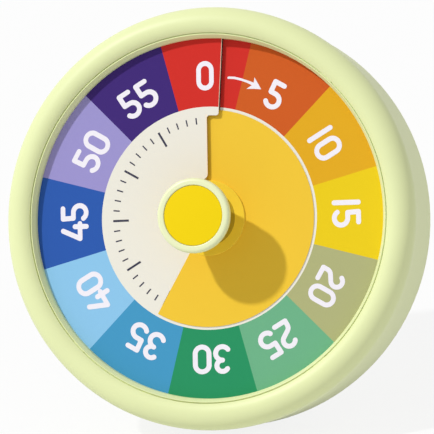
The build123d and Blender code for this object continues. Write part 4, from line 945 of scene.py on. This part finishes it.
class TIMER_OT_dial(bpy.types.Operator):
    """Prints the dial: its sectors, numerals, ticks and the arrow at the zero"""
    bl_idname = "timer.dial"
    bl_label = "Dial"

    def execute(self, context):
        scene = context.scene
        mm = sizes(scene.timer_dial)
        paint_node(scene, "dial_sheet", "dial_white")
        paint_node(scene, "dial_carrier", "inner_white")
        finish_mesh("dial_numerals", self.numerals(mm), "case", "dial_white", scene,
                    "numeral_print")
        finish_mesh("zero_arrow", self.arrow(mm), "case", "dial_white", scene, "numeral_print")
        finish_mesh("minute_ticks", self.ticks(scene, mm), "case", "dial_white", scene,
                    "tick_print")
        return {"FINISHED"}

    @staticmethod
    def numerals(mm):
        scale = mm.numeral_height / (2 * GLYPH_HALF + mm.stroke)
        flats = {g: filled(*stroke_outline(lines, mm.stroke)) for g, lines in GLYPHS.items()}
        slabs = []
        for minute, (sideways, outwards, stretch) in NUMERALS.items():
            turn, middle = math.radians(minute * 6), mm.numeral_radius + outwards
            for glyph, offset in numeral_layout(str(minute), mm.stroke):
                flat, faces = flats[glyph]
                spots = []
                for x, y in flat:
                    across = (x + offset) * scale * stretch + sideways
                    outward = middle + y * scale
                    spots.append((across * math.cos(turn) + outward * math.sin(turn),
                                  -across * math.sin(turn) + outward * math.cos(turn)))
                slabs.append(printed_slab("numeral", spots, faces, mm))
        return joined("dial_numerals", slabs)

    @staticmethod
    def arrow(mm):
        outline = arrow_outline()
        edges = [(i, (i + 1) % len(outline)) for i in range(len(outline))]
        return printed_slab("zero_arrow", *filled(outline, edges), mm)

    @staticmethod
    def ticks(scene, mm):
        values = {"Count": 59, "Outer Radius": mm.tick_radius, "Long": mm.tick_long,
                  "Short": mm.tick_short, "Wide": mm.tick_wide, "Thin": mm.tick_thin,
                  "Rise": mm.rise, "Sink": mm.print_sink,
                  "Thickness": mm.print_height + mm.print_sink,
                  "Material": material(scene, "tick_print")}
        ring = grown("minute_ticks", tick_tree(), values, bpy.data.meshes.new("seed"))
        return moved(ring, mm.tick_right, mm.tick_up, 0.0, mm.tick_turn)


# ---- Geometry Nodes

class Tree(Graph):
    """A geometry node tree with named inputs."""

    def __init__(self, name, inputs):
        super().__init__(bpy.data.node_groups.new(name, "GeometryNodeTree"))
        face = self.tree.interface
        face.new_socket("Geometry", in_out="OUTPUT", socket_type="NodeSocketGeometry")
        for label, kind in {"Geometry": "Geometry", **inputs}.items():
            face.new_socket(label, in_out="INPUT", socket_type="NodeSocket" + kind)
        given = self.tree.nodes.new("NodeGroupInput").outputs
        self.given = {socket.name: Signal(self, socket) for socket in given}
        self.output = self.tree.nodes.new("NodeGroupOutput").inputs[0]

    def close(self, instances):
        """Realizes the instances and gives them their finish."""
        real = self.node("GeometryNodeRealizeInstances", {}, {0: instances})
        done = self.node("GeometryNodeSetMaterial", {},
                         {"Geometry": real, "Material": self.given["Material"]})
        self.connect(self.output, done)
        return self.tree


def tick_tree():
    """Thin bars on a climbing circle; each fifth one is longer and wider."""
    numbers = ("Outer Radius", "Long", "Short", "Wide", "Thin", "Rise", "Sink", "Thickness")
    tree = Tree("minute_ticks", {"Count": "Int", **dict.fromkeys(numbers, "Float"),
                                 "Material": "Material"})
    given = tree.given
    line = tree.node("GeometryNodeMeshLine", {"mode": "OFFSET"}, {"Count": given["Count"]})
    minute = tree.node("GeometryNodeInputIndex") + 1.0
    fifth = minute % 5.0 < 0.5

    def either(long, short):
        return tree.node("GeometryNodeSwitch", {"input_type": "FLOAT"},
                         {"Switch": fifth, "False": short, "True": long})

    long = either(given["Long"], given["Short"])
    wide = either(given["Wide"], given["Thin"])
    turn = minute * math.radians(6.0)
    middle = given["Outer Radius"] - long * 0.5
    height = given["Rise"] * (minute / 60.0) + given["Thickness"] * 0.5 - given["Sink"]
    place = tree.vector(middle * tree.math("SINE", turn), middle * tree.math("COSINE", turn),
                        height)
    spots = tree.node("GeometryNodeSetPosition", {}, {"Geometry": line, "Position": place})
    bar = tree.node("GeometryNodeMeshCube", {}, {"Size": (1.0, 1.0, 1.0)})
    bars = tree.node("GeometryNodeInstanceOnPoints", {}, {
        "Points": spots, "Instance": bar, "Rotation": tree.vector(z=turn * -1.0),
        "Scale": tree.vector(wide, long, given["Thickness"])})
    return tree.close(bars)


def scatter_tree():
    """A piece on every point of a mesh, turned about Z by a seeded random angle."""
    tree = Tree("scatter", {"Piece": "Object", "Seed": "Int", "Loose Turn": "Float",
                            "Material": "Material"})
    given = tree.given
    piece = tree.node("GeometryNodeObjectInfo", {"transform_space": "ORIGINAL"},
                      {"Object": given["Piece"]}, "Geometry")
    turn = tree.node("FunctionNodeRandomValue", {"data_type": "FLOAT"},
                     {"Max": given["Loose Turn"], "Seed": given["Seed"]}, 1)
    spread = tree.node("GeometryNodeInstanceOnPoints", {}, {
        "Points": given["Geometry"], "Instance": piece, "Rotation": tree.vector(z=turn)})
    return tree.close(spread)


def grown(name, tree, values, mesh):
    """Runs a geometry node tree on a mesh and returns the plain mesh that it makes."""
    holder = placed(name, mesh)
    modifier = holder.modifiers.new(name, "NODES")
    modifier.node_group = tree
    sockets = {item.name: item.identifier for item in tree.interface.items_tree
               if item.in_out == "INPUT"}
    for label, value in values.items():
        modifier[sockets[label]] = value
    result = evaluated(holder)
    holder.modifiers.clear()
    bpy.data.objects.remove(holder)
    if not len(result.vertices):
        raise RuntimeError(f"{name}: the node tree made nothing")
    return result


# ---- Screws

SCREW_R, SCREW_HEAD_R, SCREW_HEAD_T = 1.25, 2.3, 1.6
SCREW_PITCH, SCREW_THREAD = 0.7, 0.22
MOVEMENT_SCREW_X = 23.4     # movement's screws beside the axis, and as far above it
BOARD_X, BOARD_Y = 52.0, -2.0               # middle of the board
BOARD_SCREW_X, BOARD_SCREW_Y = 15.5, 28.5   # its screws from there


def screw_mesh(reach):
    """A pan-head screw along +Z from its head's seat at 0, with rolled thread and a cross."""
    pitch, root = SCREW_PITCH, SCREW_R - SCREW_THREAD
    outline = [(0.0, reach), (root * 0.5, reach - 0.2)]     # the blunt tip
    for i in range(int((reach - 0.6) / pitch), 0, -1):      # one turn of thread after another
        z = 0.3 + pitch * i
        outline += [(root, z), (SCREW_R, z - pitch * 0.35), (root, z - pitch * 0.7)]
    # The head: its seat, its rim and its dome.
    outline += [(SCREW_R, 0.0), (SCREW_HEAD_R, 0.0), (SCREW_HEAD_R, -0.7)]
    outline += arc(0, 0.55, 2.15 + 0.62, -38, -90, 13.0)[1:]
    outline = [(r, max(z, -SCREW_HEAD_T)) for r, z in outline]
    body = lathe("screw", outline, 28)
    arm, slot = SCREW_HEAD_R * 0.6, SCREW_HEAD_R * 0.18     # half lengths of the cross's bars
    cross = [(slot, arm), (-slot, arm), (-slot, slot), (-arm, slot), (-arm, -slot),
             (-slot, -slot), (-slot, -arm), (slot, -arm), (slot, -slot), (arm, -slot),
             (arm, slot), (slot, slot)]
    return carved(body, prism("cross", cross, -SCREW_HEAD_T - 1, -SCREW_HEAD_T * 0.5))


def carved(body, tool):
    """The body mesh with the tool's volume taken out."""
    target, cutter = placed("carved", body), placed("cutter", tool)
    modifier = target.modifiers.new("cut", "BOOLEAN")
    modifier.operation, modifier.solver, modifier.object = "DIFFERENCE", "EXACT", cutter
    result = evaluated(target)
    for piece in (target, cutter):
        bpy.data.objects.remove(piece)
    return result


class TIMER_OT_screws(bpy.types.Operator):
    """Sets the four groups of small screws"""
    bl_idname = "timer.screws"
    bl_label = "Screws"

    def execute(self, context):
        scene = context.scene
        circle = sizes(scene.timer_case).boss_circle
        corners = [(sx, sy) for sx in (-1, 1) for sy in (-1, 1)]
        groups = {
            "case_screws": [clock_point(circle, a) for a in CASE_SCREWS_AT],
            "carrier_screws": [clock_point(circle, a) for a in CARRIER_SCREWS_AT],
            "movement_screws": [(MOVEMENT_SCREW_X * sx, MOVEMENT_SCREW_X * sy)
                                for sx, sy in corners],
            "board_screws": [(BOARD_X + BOARD_SCREW_X * sx, BOARD_Y + BOARD_SCREW_Y * sy)
                             for sx, sy in corners],
        }
        tree = scatter_tree()
        for offset, (node, spots) in enumerate(groups.items()):
            self.set_group(scene, tree, scene.timer_stage.seed + offset, node, spots)
        return {"FINISHED"}

    @staticmethod
    def set_group(scene, tree, seed, node, spots):
        low, high = dial_extent(node)
        facing_back = node != "board_screws"
        reach = high[2] - low[2] - SCREW_HEAD_T
        prototype = bpy.data.objects.new("screw", screw_mesh(reach))
        if not facing_back:
            prototype.data.transform(Matrix.Rotation(math.pi, 4, "X"))
        seat = low[2] + SCREW_HEAD_T if facing_back else high[2] - SCREW_HEAD_T
        points = bpy.data.meshes.new("spots")
        points.from_pydata([(x, y, seat) for x, y in spots], [], [])
        made = grown(node, tree, {"Piece": prototype, "Seed": seed, "Loose Turn": math.pi / 2,
                                  "Material": material(scene, "screw_steel")}, points)
        bpy.data.objects.remove(prototype)
        finish_mesh("set_of_" + node, made, "case", "screw_steel", scene, replaces=[node])


# ---- Knob and disc

class TIMER_OT_knob(bpy.types.Operator):
    """Builds the knob: its coloured body with the grooved grip, and the rim around the cap"""
    bl_idname = "timer.knob"
    bl_label = "Knob"

    def execute(self, context):
        scene = context.scene
        mm = sizes(scene.timer_knob)
        finish_mesh("knob_grip", lathe("knob_grip", self.body(mm), 256), "knob", "knob_yellow",
                    scene, replaces=["knob_body"])
        finish_mesh("knob_ring", lathe("knob_ring", self.rim(mm), 256), "knob", "knob_lime",
                    scene, replaces=["knob_rim"])
        return {"FINISHED"}

    @staticmethod
    def body(mm):
        """A cone from the foot to the grip, and the cap inside the rim."""
        grip, low, soft, fillet = mm.grip, mm.grip_low, mm.soft, mm.groove_edge
        narrow = grip - mm.taper
        outline = [(0.0, mm.foot)]
        outline += arc(mm.foot_radius - soft, mm.foot + soft, soft, -90, 0, 15.0)
        outline += arc(narrow - soft, low + soft, soft, -60, 0, 15.0)

        def side(height):
            return narrow + (grip - narrow) * (height - low) / (mm.seat - low)

        for i in range(2):
            height = low + mm.groove + mm.groove_pitch * i
            top = height + mm.groove_width
            floor = side(height) - mm.groove_depth
            outline += [(side(height - fillet), height - fillet),
                        (side(height) - fillet, height), (floor, height + fillet / 2),
                        (floor, top - fillet / 2), (side(top) - fillet, top),
                        (side(top + fillet), top + fillet)]
        outline += arc(grip - soft, mm.seat - soft, soft, 0, 90, 15.0)
        outline += [(mm.cap_radius, mm.seat)]
        outline += arc(mm.cap_radius - soft, mm.cap_top - soft, soft, 0, 90, 10.0)
        return outline + [(0.0, mm.cap_top)]

    @staticmethod
    def rim(mm):
        """The ring around the cap."""
        radius, top, seat = mm.radius, mm.top, mm.seat
        inner = mm.cap_radius + mm.cap_room
        edge, low, mouth = mm.edge, mm.foot_edge, mm.mouth_edge
        outline = [(inner, seat)]
        outline += arc(radius - low, seat + low, low, -90, 0, 9.0)
        outline += arc(radius - edge, top - edge, edge, 0, 90, 6.0)
        return outline + arc(inner + mouth, top - mouth, mouth, 90, 180, 10.0)


class TIMER_OT_disc(bpy.types.Operator):
    """Finishes the disc that shows the minutes left and the drum that carries it"""
    bl_idname = "timer.disc"
    bl_label = "Disc"

    def execute(self, context):
        scene = context.scene
        paint_node(scene, "film_disc", "film_yellow")
        paint_node(scene, "film_hub", "hub_yellow")
        return {"FINISHED"}


# ---- What keeps its CAD shape

class TIMER_OT_works(bpy.types.Operator):
    """Finishes the movement, the electrics and the stand"""
    bl_idname = "timer.works"
    bl_label = "Works"

    def execute(self, context):
        scene = context.scene
        slots = {row["node"]: row["material_slot"] for row in frame["record"]["subparts"]}
        done = {"front_bezel", "retaining_ring", "knob_body", "knob_rim", "film_disc", "film_hub"}
        for node, slot in slots.items():
            if node not in done and not frame["nodes"][node].hide_render:
                paint_node(scene, node, slot)
        return {"FINISHED"}


# ---- Stage

class TIMER_OT_stage(bpy.types.Operator):
    """Sets the floor, the light and the camera"""
    bl_idname = "timer.stage"
    bl_label = "Stage"

    def execute(self, context):
        scene = context.scene
        stage = scene.timer_stage
        scene.view_settings.view_transform = "Standard"
        self.floor(scene, stage)
        self.world(scene, stage)
        self.key_light(scene, stage)
        self.camera(scene, stage)
        return {"FINISHED"}

    @staticmethod
    def floor(scene, stage):
        mesh = bpy.data.meshes.new("floor")
        reach = stage.floor_reach
        mesh.from_pydata([(-reach, -reach, 0), (reach, -reach, 0), (reach, reach, 0),
                          (-reach, reach, 0)], [], [(0, 1, 2, 3)])
        finish = Finish("floor", Roughness=1.0, Specular_IOR_Level=0.0)
        finish.feed("Base Color", (stage.floor_grey,) * 3)
        plain = Signal(finish, finish.shader.outputs[0])
        glow = finish.node("ShaderNodeEmission", {}, {"Color": (1, 1, 1), "Strength": 1.0})
        both = finish.node("ShaderNodeMixShader", {},
                           {0: seen_directly(finish) * stage.floor_glow, 1: plain, 2: glow})
        output = next(n for n in finish.tree.nodes if n.type == "OUTPUT_MATERIAL")
        finish.connect(output.inputs["Surface"], both)
        mesh.materials.append(finish.material)
        floor = placed("floor", mesh)

    @staticmethod
    def world(scene, stage):
        world = bpy.data.worlds.new("room")
        world.use_nodes = True
        scene.world = world
        room = Graph(world.node_tree)
        back = next(n for n in room.tree.nodes if n.type == "BACKGROUND")
        back.inputs["Color"].default_value = (1, 1, 1, 1)
        seen = seen_directly(room) if stage.bright_room else 0.0
        room.connect(back.inputs["Strength"], seen * (1.0 - stage.ambient) + stage.ambient)

    @staticmethod
    def key_light(scene, stage):
        data = bpy.data.lights.new("key", "SUN")
        data.energy = stage.key
        data.angle = stage.key_spread
        lamp = placed("key", data)
        right, up, out = stage.key_from
        towards = RIGHT * right + UP * up + OUT * out
        lamp.rotation_euler = towards.to_track_quat("Z", "Y").to_euler()
        lamp.location = towards * 2

    @staticmethod
    def camera(scene, stage):
        seen = (Matrix.Rotation(stage.tilt, 3, "X") @ Matrix.Rotation(stage.turn, 3, "Y")
                @ Matrix.Rotation(stage.roll, 3, "Z"))
        offset = Vector((stage.sideways, stage.upwards, -stage.distance))
        axes = Matrix((RIGHT, UP, OUT)).transposed()
        spot = DIAL.translation + axes @ (seen.transposed() @ -offset)
        data = bpy.data.cameras.new("camera")
        data.lens = stage.focal
        data.sensor_width = 36.0
        data.clip_end = 20.0
        camera = placed("camera", data)
        camera.matrix_world = Matrix.Translation(spot) @ (axes @ seen.transposed()).to_4x4()
        scene.camera = camera


def seen_directly(graph):
    """1 for what the camera sees, also through or by reflection in the timer, 0 for light."""
    rays = graph.node("ShaderNodeLightPath", output="Is Camera Ray")
    shiny, clear = (Signal(graph, rays.socket.node.outputs[f"Is {kind} Ray"])
                    for kind in ("Glossy", "Transmission"))
    return graph.math("MAXIMUM", rays, graph.math("MAXIMUM", shiny, clear))


# ---- Panel and registration

OPERATORS = (TIMER_OT_case, TIMER_OT_dial, TIMER_OT_disc, TIMER_OT_knob, TIMER_OT_screws,
             TIMER_OT_works, TIMER_OT_stage)


class TIMER_PT_panel(bpy.types.Panel):
    """Lists the timer's pieces, sizes and colours"""
    bl_idname = "TIMER_PT_panel"
    bl_label = "Countdown Timer"
    bl_space_type = "VIEW_3D"
    bl_region_type = "UI"
    bl_category = "Timer"

    def draw(self, context):
        for operator in OPERATORS:
            self.layout.operator(operator.bl_idname)
        for attribute, group in SETTINGS.items():
            box = self.layout.box()
            box.label(text=group.__name__)
            for name in group.__annotations__:
                box.prop(getattr(context.scene, attribute), name)


def register():
    for cls in (*SETTINGS.values(), *OPERATORS, TIMER_PT_panel):
        bpy.utils.register_class(cls)
    for attribute, group in SETTINGS.items():
        setattr(bpy.types.Scene, attribute, PointerProperty(type=group))


def unregister():
    for attribute in SETTINGS:
        delattr(bpy.types.Scene, attribute)
    for cls in reversed((*SETTINGS.values(), *OPERATORS, TIMER_PT_panel)):
        bpy.utils.unregister_class(cls)


def main():
    register()
    for operator in OPERATORS:
        group, name = operator.bl_idname.split(".")
        getattr(getattr(bpy.ops, group), name)()


if __name__ == "__main__":
    main()
